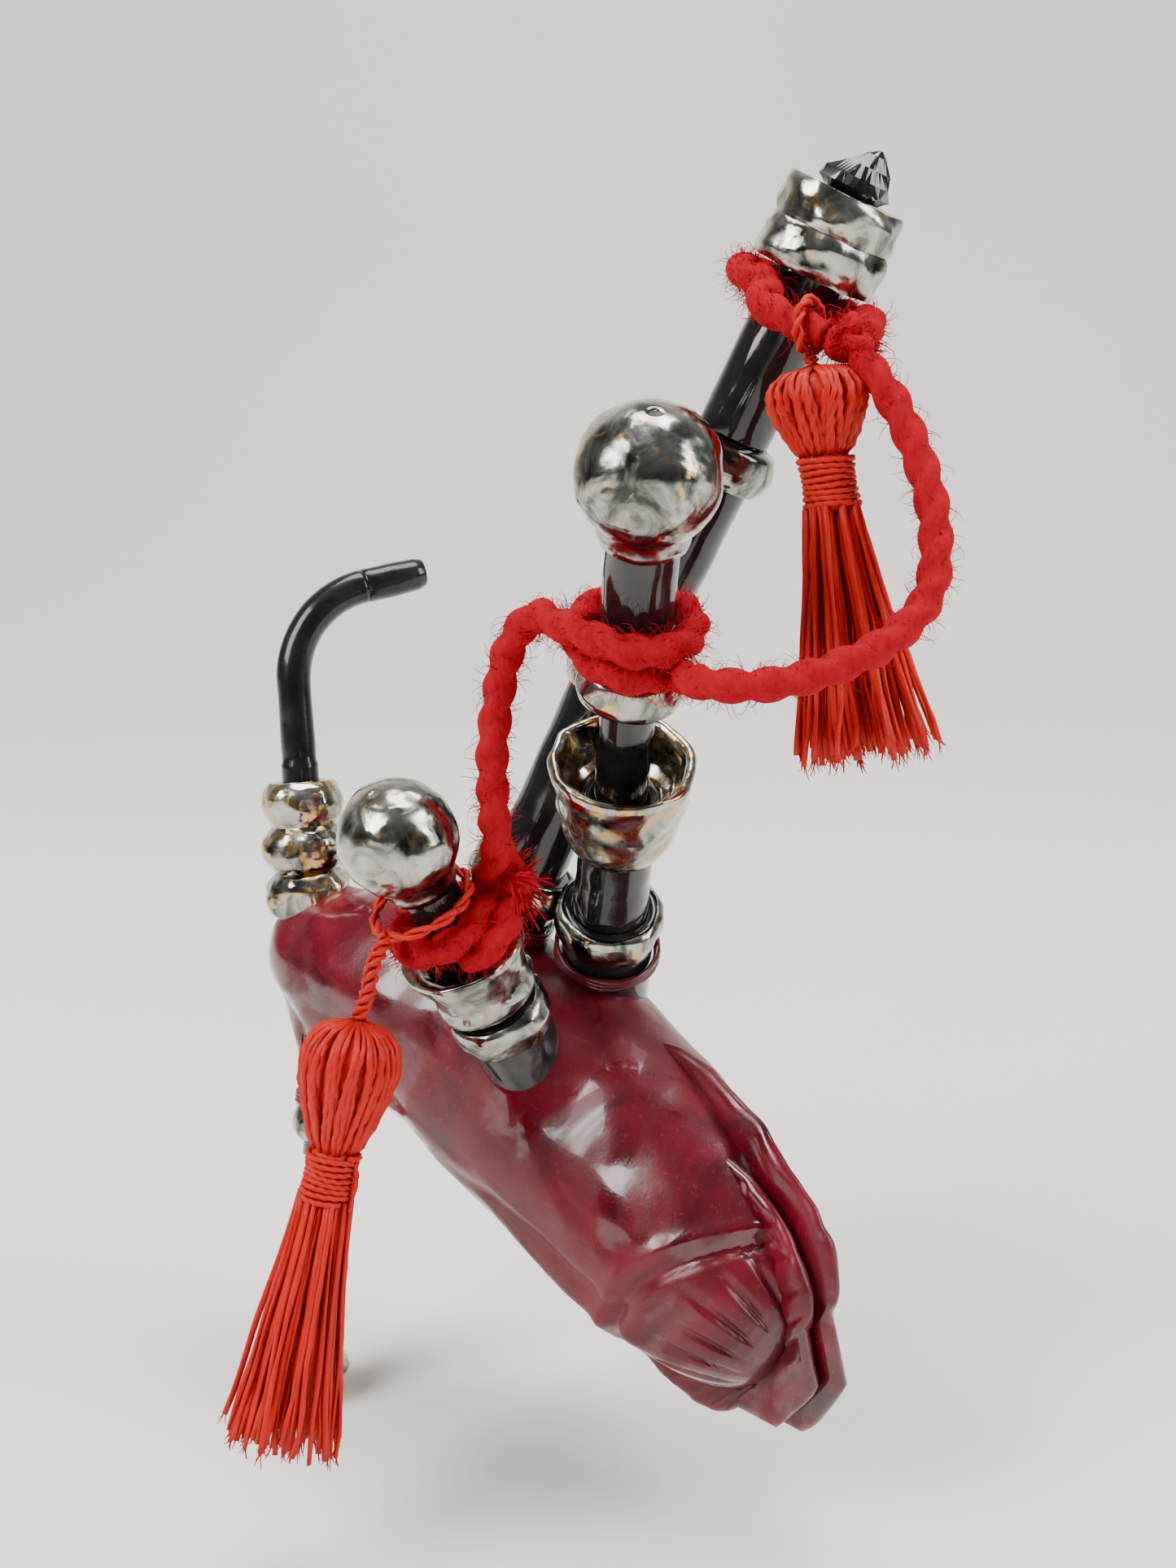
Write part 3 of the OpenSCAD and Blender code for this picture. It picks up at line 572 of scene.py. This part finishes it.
def make_bag():
    rings = []
    for i in range(1, 180):
        rings.append([bag_skin(i, 360 * k / 200) * MM for k in range(200)])
    bag = mesh_object("bag_skin", *stitch(rings), "bag_and_stocks", CRIMSON)
    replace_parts(bag, "bag")


def make_seam(name, node, first, last, wide, shift, crimps, seed):
    """A thick folded flange round the bag's rim, crimped across, from first to last degrees."""
    rings = []
    steps, sides = 150, 26
    for i in range(steps + 1):
        share = 0.5 - 0.5 * math.cos(math.pi * i / steps)
        v = first + (last - first) * share
        u, a = (v, -90) if v <= 180 else (360 - v, 90)
        line, side, up = bag_frame(share_at(u))
        half = bag_half(u)
        rim = line + up * math.sin(math.radians(a)) * half
        inner = line + up * math.sin(math.radians(a)) * max(0.0, half - 3.5)
        if u > 176:
            inner = bag_frame(0.94)[0]
        out = (rim - inner).normalized()
        taper = max(0.0, math.sin(math.pi * share)) ** 0.5
        w = (wide + uneven(rim, 5, 0.7, seed)) * taper + 0.4
        bow = shift + uneven(rim, 6, 0.35, seed + 2)
        thick = (0.95 + 0.25 * noise.noise(rim / 3)) * (0.35 + 0.65 * taper)
        ring = []
        for k in range(sides):
            c = 2 * math.pi * k / sides
            reach = w * (0.5 - 0.5 * math.cos(c)) - 1.2
            level = thick * math.sin(c) * (0.75 + 0.35 * (0.5 - 0.5 * math.cos(c)) ** 2)
            if crimps and math.sin(c) < 0:
                slant = math.sin(2 * math.pi * share * crimps + reach * 0.75)
                level += 0.42 * max(0.0, slant) ** 2 * (0.5 - 0.5 * math.cos(2 * c)) * taper
            ring.append((rim + out * reach + side * (bow + level)) * MM)
        rings.append(ring)
    seam = mesh_object(name, *stitch(rings), "bag_and_stocks", CRIMSON)
    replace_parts(seam, node)


def make_ties():
    heap = Heap()
    for pipe, z, r in ((BASS, 3.9, 4.1), (OUTER, 3.8, 4.0), (CHANTER, 4.9, 3.0)):
        heap.tube([pipe.spot(z - 0.55 + 1.1 * i / 108, r + 0.42 + uneven(Vector((i, 0, 0)), 9, 0.05, 2), i * 10)
                   for i in range(109)], 0.3, 8, ply=2, pitch=1.8)
    ties = heap.make("stock_tie_windings", "bag_and_stocks", CRIMSON)
    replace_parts(ties, "stock_ties")


make_bag()
make_seam("bag_seam_crimped", "bag_seam_front", 108, 232, 4.6, -1.0, 16, 5)
make_seam("bag_seam_folded", "bag_seam_rear", 128, 252, 5.8, 1.0, 0, 9)
make_ties()


# ---------- stocks and drones ----------

def glazed(name, pipe, profile, body, node, material=BLACK, lumps=(3.2, 0.09), seed=1,
           bore=None, cut=0.18):
    """A black or silver turned piece with eased corners and hand-made lumps, standing for its CAD node."""
    loop = split_long(soft_edges(profile, cut))
    obj = turned(name, pipe, loop, body, material, (node,), lumps, seed, keep_bore=bore)


def silver(name, pipe, profile, body, node, lumps=(3.0, 0.22), seed=1, bore=None, material=SILVER, cut=0.25):
    glazed(name, pipe, profile, body, node, material, lumps, seed, bore, cut)


def bead_profile(z0, z1, inner, beads, pinch=0.42):
    """A closed profile of rounded beads: each bead is (centre, half-length, radius); inner is the bore,
    and pinch says how deep the waists between the beads are."""
    outline = []
    for z, half, r in beads:
        for k in range(9):
            t = -1 + 2 * k / 8
            outline.append((z + t * half, r - (r - inner) * pinch * abs(t) ** 2.6))
    return [(z0, inner)] + outline + [(z1, inner)]


ROOT = "bag_and_stocks"
glazed("bass_stock_black", BASS, [(-6, 2.79), (-6, 4.1), (9, 4.1), (9, 2.79)], ROOT, "bass_stock",
       seed=2, bore=2.85)
glazed("outer_tenor_stock_black", OUTER, [(-4, 3.09), (-4, 4.0), (9, 4.0), (9, 3.09)], ROOT, "outer_tenor_stock",
       seed=3, bore=3.15)
glazed("front_tenor_stock_black", FRONT, [(-4, 2.69), (-4, 3.6), (5.6, 3.6), (5.6, 2.69)], ROOT,
       "front_tenor_stock", seed=4, bore=2.75)
RING_LONG = 3
for label, pipe, top, r, seed in (("bass", BASS, 9, 4.1, 5), ("outer_tenor", OUTER, 9, 4.0, 6),
                                  ("front_tenor", FRONT, 5.6, 3.6, 7), ("chanter", CHANTER, 8.6, 3.0, 8)):
    silver(label + "_stock_silver", pipe,
           [(top - RING_LONG, r + 0.03), (top - RING_LONG - 0.1, r + 0.45), (top - RING_LONG * 0.6, r + 0.75),
            (top - 0.5, r + 0.7), (top + 0.02, r + 0.35), (top, r + 0.03)],
           ROOT, label + "_stock_ring", (2.4, 0.3), seed, r + 0.05)

glazed("bass_lower_black", BASS,
       [(1, 0.77), (1, 2.75), (9.05, 2.75), (9.05, 3.45), (14, 3.3), (20, 3.4), (26, 3.6), (32.5, 3.5),
        (32.5, 2.08), (18, 2.08), (18, 0.77)], "bass_lower", "bass_lower_section", seed=11, bore=2.8)
silver("bass_lower_mount_silver", BASS,
       [(26.4, 3.55), (26.4, 4.0), (28.3, 4.8), (29.0, 6.2), (30.0, 7.15), (31.0, 7.2), (31.9, 6.3),
        (32.4, 4.9), (32.3, 3.55)], "bass_lower", "bass_lower_mount", (3.4, 0.38), 12, 3.6, MIRROR)
glazed("bass_middle_black", BASS,
       [(22.5, 0.92), (22.5, 1.9), (34, 1.9), (34, 3.0), (40, 3.1), (46, 3.15), (50.4, 3.1), (50.4, 2.08),
        (37, 2.08), (37, 0.92)], "bass_middle", "bass_middle_section", seed=13, bore=2.1)
silver("bass_middle_ferrule_silver", BASS,
       [(46.6, 3.16), (46.6, 3.9), (47.2, 4.3), (48.2, 4.6), (49.2, 4.35), (50.0, 4.1), (50.45, 3.16)],
       "bass_middle", "bass_middle_ferrule", (2.6, 0.22), 14, 3.2)
glazed("bass_top_black", BASS,
       [(40, 0.92), (40, 1.9), (50.5, 1.9), (50.5, 3.05), (56, 3.1), (62, 3.0), (68, 3.05), (68, 1.0), (66, 0.92)],
       "bass_top", "bass_top_section", seed=15, bore=1.95)
silver("bass_cap_silver", BASS,
       bead_profile(64.4, 70.9, 3.16, ((66.1, 1.75, 5.15), (69.4, 1.7, 4.95)), 0.2)
       + [(71.0, 3.0), (71.1, 1.25), (68.1, 1.25), (68.05, 3.16)],
       "bass_top", "bass_cap", (2.6, 0.42), 16, 1.3, SILVER, 0.1)


def make_finial():
    """A pinched, pointed knob with carved facets on a short peg."""
    rings = []
    for z, r in ((68.15, 1.15), (71.0, 1.15), (71.1, 2.3), (71.7, 3.05), (72.5, 2.75), (73.5, 1.85),
                 (74.5, 0.85), (75.0, 0.15)):
        ring = []
        for k in range(36):
            a = 10 * k
            facet = 1 / math.cos(math.radians((a + 18 * (z - 71)) % 72 - 36)) if r > 1.2 else 1.15
            lean = max(0.0, z - 71) * 0.22
            p = BASS.spot(z, r * facet * 0.87, a) + (BASS.front * lean) * MM
            ring.append(p)
        rings.append(ring)
    finial = mesh_object("bass_finial_black", *stitch(rings), "bass_top", BLACK, smooth=False)
    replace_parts(finial, "bass_finial")


make_finial()

glazed("outer_tenor_lower_black", OUTER,
       [(1, 0.77), (1, 3.05), (9.05, 3.05), (9.05, 3.3), (13, 3.1), (17, 3.2), (22, 3.2), (22, 2.38), (6, 2.38),
        (6, 0.77)], "outer_lower", "outer_tenor_lower_section", seed=21, bore=3.1)
silver("outer_tenor_cup_silver", OUTER,
       [(17, 3.23), (16.9, 3.9), (18.6, 4.6), (21, 5.15), (23.6, 5.6), (25.6, 6.0), (26.2, 5.75), (26.0, 5.2),
        (24.2, 4.75), (22.6, 4.1), (22.1, 3.23)],
       "outer_lower", "outer_tenor_cup", (3.2, 0.40), 22, 3.25, WARM_REFLECTED_SILVER, 0.3)
glazed("outer_tenor_upper_black", OUTER,
       [(12, 0.92), (12, 2.2), (33, 2.2), (33, 2.75), (39, 2.85), (46, 2.75), (53, 2.8), (53, 0.92)],
       "outer_upper", "outer_tenor_upper_section", seed=23, bore=2.25)
silver("outer_tenor_ferrule_silver", OUTER,
       [(32.9, 2.83), (32.9, 3.7), (33.4, 4.25), (34.2, 4.4), (35.1, 3.95), (35.9, 3.7), (36.1, 2.83)],
       "outer_upper", "outer_tenor_ferrule", (2.6, 0.25), 24, 2.86)
glazed("front_tenor_lower_black", FRONT,
       [(-2, 0.77), (-2, 2.65), (5.65, 2.65), (5.65, 3.2), (9.5, 3.2), (9.5, 1.98), (3, 1.98), (3, 0.77)],
       "front_lower", "front_tenor_lower_section", seed=31, bore=2.7)
silver("front_tenor_cup_silver", FRONT,
       [(6.5, 3.23), (6.4, 4.1), (7.2, 4.45), (8.3, 4.25), (9.6, 4.5), (11.0, 5.0), (12.0, 5.25), (12.3, 4.9),
        (12.0, 4.0), (11.2, 3.23)], "front_lower", "front_tenor_cup", (3.0, 0.36), 32, 3.25, MIRROR, 0.3)
glazed("front_tenor_upper_black", FRONT,
       [(3.5, 0.92), (3.5, 1.8), (9.8, 1.8), (9.8, 2.4), (16, 2.35), (24.4, 2.4), (24.4, 0.92)], "front_upper",
       "front_tenor_upper_section", seed=33, bore=1.85)


def make_ball(label, pipe, z, r, stick, body, seed):
    """A lumpy silver ball with a soft collar round its stick."""
    outline = [(z - 0.1, stick + 0.03), (z - r - 0.1, stick + 0.03), (z - r - 0.2, stick + 0.4),
               (z - r + 0.4, stick + 0.6)]
    first = math.degrees(math.asin((stick + 0.7) / r)) - 90
    for k in range(17):
        a = math.radians(first + (90 - first) * k / 16)
        outline.append((z + r * math.sin(a) * (1.0 if a < 0 else 0.97), max(0.02, r * math.cos(a))))
    outline.append((z + 0.1, 0.02))
    obj = turned(label + "_ball_silver", pipe, outline, body, SILVER, (label + "_ball",), (3.6, 0.30), seed, 72,
                 stick + 0.05)


make_ball("outer_tenor", OUTER, 53, 5.35, 2.8, "outer_upper", 41)
make_ball("front_tenor", FRONT, 24.4, 4.85, 2.4, "front_upper", 42)


# ---------- blowpipe and chanter ----------

def bend(angle):
    """A point on the blowpipe's bend, which turns it towards its left-hand side."""
    a = math.radians(angle)
    return BLOW.spot(28, 9, 180) + (BLOW.right * math.cos(a) + BLOW.axis * math.sin(a)) * 9 * MM


def make_blowpipe():
    way = (bend(80) - bend(79.9)).normalized()
    heap = Heap()
    line = [BLOW.spot(9.2 + 0.4 * i, 0, 0) for i in range(47)] + [bend(80 * i / 40) for i in range(41)]
    heap.tube(line, lambda t: (1.75 if t < 0.325 else 1.6) + 0.07 * noise.noise(Vector((t * 9, 0, 0))), 36)
    heap.tube([bend(80) + way * z * MM for z in (-0.3, 1.2, 2.9)], 1.1, 24)
    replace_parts(heap.make("blowpipe_black", "blowpipe_tube", SATIN), "blowpipe")
    mouth = Pipe(bend(80) / MM, math.degrees(math.acos(way.z)), math.degrees(math.atan2(way.y, way.x)))
    glazed("blowpipe_mouthpiece_black", mouth,
           [(0.02, 1.13), (0.02, 1.6), (3, 1.62), (5.2, 1.55), (6, 1.3), (6, 0.6), (3.05, 0.6), (3.05, 1.13)],
           "blowpipe_tube", "blowpipe_mouthpiece", SATIN, lumps=(3, 0.05), seed=52, bore=1.15, cut=0.12)


make_blowpipe()
silver("blowpipe_stock_silver", BLOW,
       bead_profile(0, 18.8, 1.93, ((4.6, 1.7, 3.35), (8.1, 2.2, 4.0), (12.4, 2.2, 4.0), (16.7, 2.1, 3.85))), ROOT,
       "blowpipe_stock", (2.6, 0.34), 51, 2.0, WARM_REFLECTED_SILVER, 0.12)

glazed("chanter_stock_black", CHANTER, [(-4, 1.88), (-4, 3.0), (8.6, 3.0), (8.6, 1.88)], ROOT, "chanter_stock",
       seed=53, bore=1.95)
silver("chanter_sole_silver", CHANTER,
       [(28.62, 0.8), (28.62, 2.5), (29.4, 3.1), (30.1, 3.5), (30.75, 3.4), (30.8, 0.8)], "chanter_pipe",
       "chanter_sole", (2.4, 0.15), 54, 0.85)


# ---------- scarlet tassels ----------

def swirl(path, off, turns, phase):
    """A strand that winds round a path at a distance off in millimetres."""
    out = []
    for i, (_, side, up) in enumerate(frames_along(path)):
        a = 2 * math.pi * turns * i / (len(path) - 1) + phase
        out.append(path[i] + (side * math.cos(a) + up * math.sin(a)) * off * MM)
    return out


def head_radius(t, size, neck):
    """Radius of a tassel head at a share t of its height: gathered at the top, full, then drawn in."""
    bulge = math.sin(math.pi * min(1.0, t * 0.98) ** 0.62) ** 0.75 if t < 1 else 0
    return neck * t + (0.75 * (1 - t)) * min(1.0, t * 8 + 0.3) + (size - neck * t * 0.85) * bulge * 0.92


def make_head(name, node, pipe, height, size, body, seed):
    heap = Heap()
    core = []
    for i in range(13):
        t = i / 12
        r = max(0.2, head_radius(t, size, 1.95) - 0.75)
        core.append([pipe.spot(0.3 + t * (height - 0.3), r, 360 * k / 20) for k in range(20)])
    heap.add(*stitch(core))
    for layer, count, back in ((0, 30, 0.0), (1, 22, 0.22)):
        for k in range(count):
            angle = 360 * (k + 0.5 * layer + rng.uniform(-0.3, 0.3)) / count
            lean = rng.uniform(-9, 9)
            wave = rng.uniform(0, 6)
            path = []
            for i in range(15):
                t = i / 14
                r = head_radius(t, size, 2.05) - 0.34 - back + 0.10 * noise.noise(Vector((k, t * 3, seed + layer)))
                sway = lean * t + 3.5 * math.sin(t * 5 + wave)
                path.append(pipe.spot(0.15 + t * (height - 0.05), max(0.25, r), angle + sway))
            heap.tube(path, lambda t: 0.17 + 0.22 * math.sin(math.pi * t) ** 0.6, 8, ply=2, pitch=2.4,
                      phase=rng.uniform(0, 6))
    head = heap.make(name, body, FLOSS)
    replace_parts(head, node)


def make_binding(name, node, pipe, start, long, r, body, turns):
    heap = Heap()
    coil = []
    count = turns * 28
    for i in range(count + 1):
        t = i / count
        waist = r - 0.22 * math.sin(math.pi * t)
        coil.append(pipe.spot(start + 0.25 + (long - 0.5) * t, waist, 360 * turns * t)
                    + pipe.axis * 0.07 * math.sin(i * 0.41) * MM)
    heap.tube(coil, 0.29, 8, ply=2, pitch=1.6)
    core = [[pipe.spot(start + long * i / 4, r - 0.3, 360 * k / 24) for k in range(24)] for i in range(5)]
    heap.add(*stitch(core))
    heap.tube(smooth_path([pipe.spot(start + 0.6, r + 0.15, 20), pipe.spot(start + 2.0, r + 0.38, 26),
                           pipe.spot(start + long + 0.2, r + 0.3, 24)], 5), 0.24, 8, ply=2, pitch=1.6)
    binding = heap.make(name, body, FLOSS)
    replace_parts(binding, node)


def make_skirt(name, node, pipe, start, long, r0, r1, body, count, seed):
    heap = Heap()
    for k in range(count):
        share = math.sqrt((k + 0.5) / count)
        angle = k * 137.508 + rng.uniform(-12, 12)
        reach = long * rng.uniform(0.93, 1.0)
        edge = r1 * share * rng.uniform(0.78, 1.0)
        kink = rng.uniform(0.1, 0.5)
        path = []
        for i in range(12):
            t = i / 11
            r = (r0 - 0.2) * share + (edge - (r0 - 0.2) * share) * t ** 1.15
            shake = Vector((k * 1.7, t * 2.6, seed))
            path.append(pipe.spot(start - 0.3 + t * (reach + 0.3), r + kink * t * noise.noise(shake),
                                  angle + 11 * t * noise.noise(shake * 1.3 + Vector((9, 0, 0)))))
        heap.tube(path, lambda t: 0.27 - 0.03 * t, 8, ply=2, pitch=rng.uniform(1.7, 2.3), phase=rng.uniform(0, 6))
        if rng.random() < 0.7:
            tip, d = path[-1], (path[-1] - path[-2]).normalized()
            for _ in range(3):
                off = Vector((rng.uniform(-1, 1), rng.uniform(-1, 1), rng.uniform(-1, 1))) * 0.45
                heap.tube([tip - d * 0.4 * MM, tip + (d * 0.35 + off * 0.5) * MM, tip + (d * 0.7 + off) * MM],
                          lambda t: 0.07 * (1 - 0.5 * t), 3)
    skirt = heap.make(name, body, FLOSS)
    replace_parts(skirt, node)


def make_loop(name, node, ring, stem, strand, body):
    """A hanging loop of twisted floss: a ring of it, and a twisted stem down to the head if there is one."""
    heap = Heap()
    for phase in (0, math.pi):
        heap.tube(swirl(ring, 0.24, len(ring) / 9, phase), strand, 8, ply=2, pitch=1.8)
    if stem:
        for phase in (0, 2.1, 4.2):
            heap.tube(swirl(stem, 0.40, 2.6, phase), strand * 1.12, 8, ply=2, pitch=1.8)
    loop = heap.make(name, body, FLOSS)
    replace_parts(loop, node)


def make_tassels():
    ring = []
    for i in range(49):
        a = math.radians(7.5 * i)
        lift = 0.25 * math.sin(math.radians(15 * i))
        out = FRONT.right * math.cos(a) + FRONT.front * math.sin(a)
        ring.append(FRONT.spot(18.5 + lift, 0, 0) + (FRONT.front * 1.1 + out * 4.1) * MM)
    low = FRONT.spot(18.5, 5.2, 90)
    top = FRONT_TASSEL.at
    hang = [low + (low - top) * 0.03, low.lerp(top, 0.35) + mm(-0.3, 0, 0.25), low.lerp(top, 0.7), top]
    stem = smooth_path(hang, 12)
    make_loop("front_tassel_loop_twist", "front_tassel_loop", ring, stem, 0.29, "front_loop")
    make_head("front_tassel_head_threads", "front_tassel_head", FRONT_TASSEL, 10.5, 3.75, "front_tassel", 3)
    make_binding("front_tassel_binding_coil", "front_tassel_binding", FRONT_TASSEL, 10.5, 4.3, 2.05,
                 "front_tassel", 8)
    make_skirt("front_tassel_skirt_threads", "front_tassel_skirt", FRONT_TASSEL, 14.7, 20.0, 2.3, 5.3,
               "front_tassel", 120, 5)
    centre = mm(12.7, 4.8, 72.1)
    across, up = Vector((0.5, 0.866, 0)), Vector((0, 0, 1))
    ring = [centre + (across * math.cos(math.radians(10 * i)) + up * math.sin(math.radians(10 * i))) * 1.95 * MM
            for i in range(37)]
    stem = [mm(12.8, 4.6, 70.15).lerp(BASS_TASSEL.at + BASS_TASSEL.axis * 0.6 * MM, i / 5) for i in range(6)]
    make_loop("bass_tassel_loop_twist", "bass_tassel_loop", ring, stem, 0.27, "bass_loop")
    make_head("bass_tassel_head_threads", "bass_tassel_head", BASS_TASSEL, 6.6, 3.6, "bass_tassel", 7)
    make_binding("bass_tassel_binding_coil", "bass_tassel_binding", BASS_TASSEL, 6.6, 4.3, 2.05, "bass_tassel", 8)
    make_skirt("bass_tassel_skirt_threads", "bass_tassel_skirt", BASS_TASSEL, 10.8, 19.0, 2.3, 6.4,
               "bass_tassel", 120, 9)


make_tassels()


# ---------- what stays as the CAD has it ----------

def finish_cad_nodes():
    looks = {"reed": CANE, "hemp": HEMP, "valve": LEATHER, "chanter": BLACK}
    for name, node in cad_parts.items():
        for word, material in looks.items():
            if word in name and not node.hide_render:
                for slot in node.material_slots:
                    slot.material = material
                break


finish_cad_nodes()


# ---------- studio ----------

def make_backdrop():
    """A pale paper sweep: flat under the part, then curving up behind it."""
    s = Shader("paper_sweep")
    s.plug("Base Color", s.ramp(s.noise(3, 2), [(0.3, (0.80, 0.775, 0.735)), (0.7, (0.86, 0.84, 0.80))]))
    s.plug("Roughness", s.ramp(s.noise(40, 3), [(0.3, 0.85), (0.7, 0.95)]))
    s.bump(s.noise(900, 3), 0.00005, 0.3)
    floor = cad_box[0].z - 0.002
    line = [(-1.6, floor), (-0.6, floor), (0.05, floor), (0.35, floor)]
    line += [(0.35 + 0.3 * math.sin(math.radians(a)), floor + 0.3 - 0.3 * math.cos(math.radians(a)))
             for a in range(6, 91, 6)]
    line += [(0.65, floor + 0.9), (0.65, floor + 1.6)]
    rings = [[Vector((x, y, z)) for x in (-2.2, -0.7, 0.7, 2.2)] for y, z in line]
    verts = [p for ring in rings for p in ring]
    faces = [(i * 4 + k, i * 4 + k + 1, i * 4 + k + 5, i * 4 + k + 4)
             for i in range(len(rings) - 1) for k in range(3)]
    sweep = mesh_object("paper_sweep", verts, faces, None, s.mat)


def softbox(name, at, towards, size, power, tint):
    data = bpy.data.lights.new(name, "AREA")
    data.shape = "RECTANGLE"
    data.size, data.size_y = size
    data.energy = power
    data.color = tint
    light = bpy.data.objects.new(name, data)
    light.location = at
    light.rotation_euler = (Vector(towards) - Vector(at)).to_track_quat("-Z", "Y").to_euler()
    bpy.context.collection.objects.link(light)


def make_world():
    world = bpy.data.worlds.new("studio")
    world.use_nodes = True
    tree = world.node_tree
    background = tree.nodes["Background"]
    coords = tree.nodes.new("ShaderNodeTexCoord")
    split = tree.nodes.new("ShaderNodeSeparateXYZ")
    ramp = tree.nodes.new("ShaderNodeValToRGB")
    tree.links.new(coords.outputs["Generated"], split.inputs["Vector"])
    tree.links.new(split.outputs["Z"], ramp.inputs["Fac"])
    ramp.color_ramp.elements[0].color = (0.10, 0.097, 0.093, 1)
    ramp.color_ramp.elements[1].color = (0.42, 0.425, 0.435, 1)
    tree.links.new(ramp.outputs["Color"], background.inputs["Color"])
    background.inputs["Strength"].default_value = 0.75
    bpy.context.scene.world = world


make_backdrop()
make_world()
softbox("window_left", (-0.42, -0.30, 0.42), (0, 0.01, 0.03), (0.34, 0.42), 6.4, (1.0, 0.985, 0.96))
softbox("window_right", (0.50, -0.12, 0.30), (0, 0.01, 0.03), (0.24, 0.40), 3.6, (0.97, 0.985, 1.0))
softbox("top_fill", (0.02, 0.10, 0.62), (0, 0.01, 0.03), (0.40, 0.30), 4.0, (1.0, 1.0, 1.0))
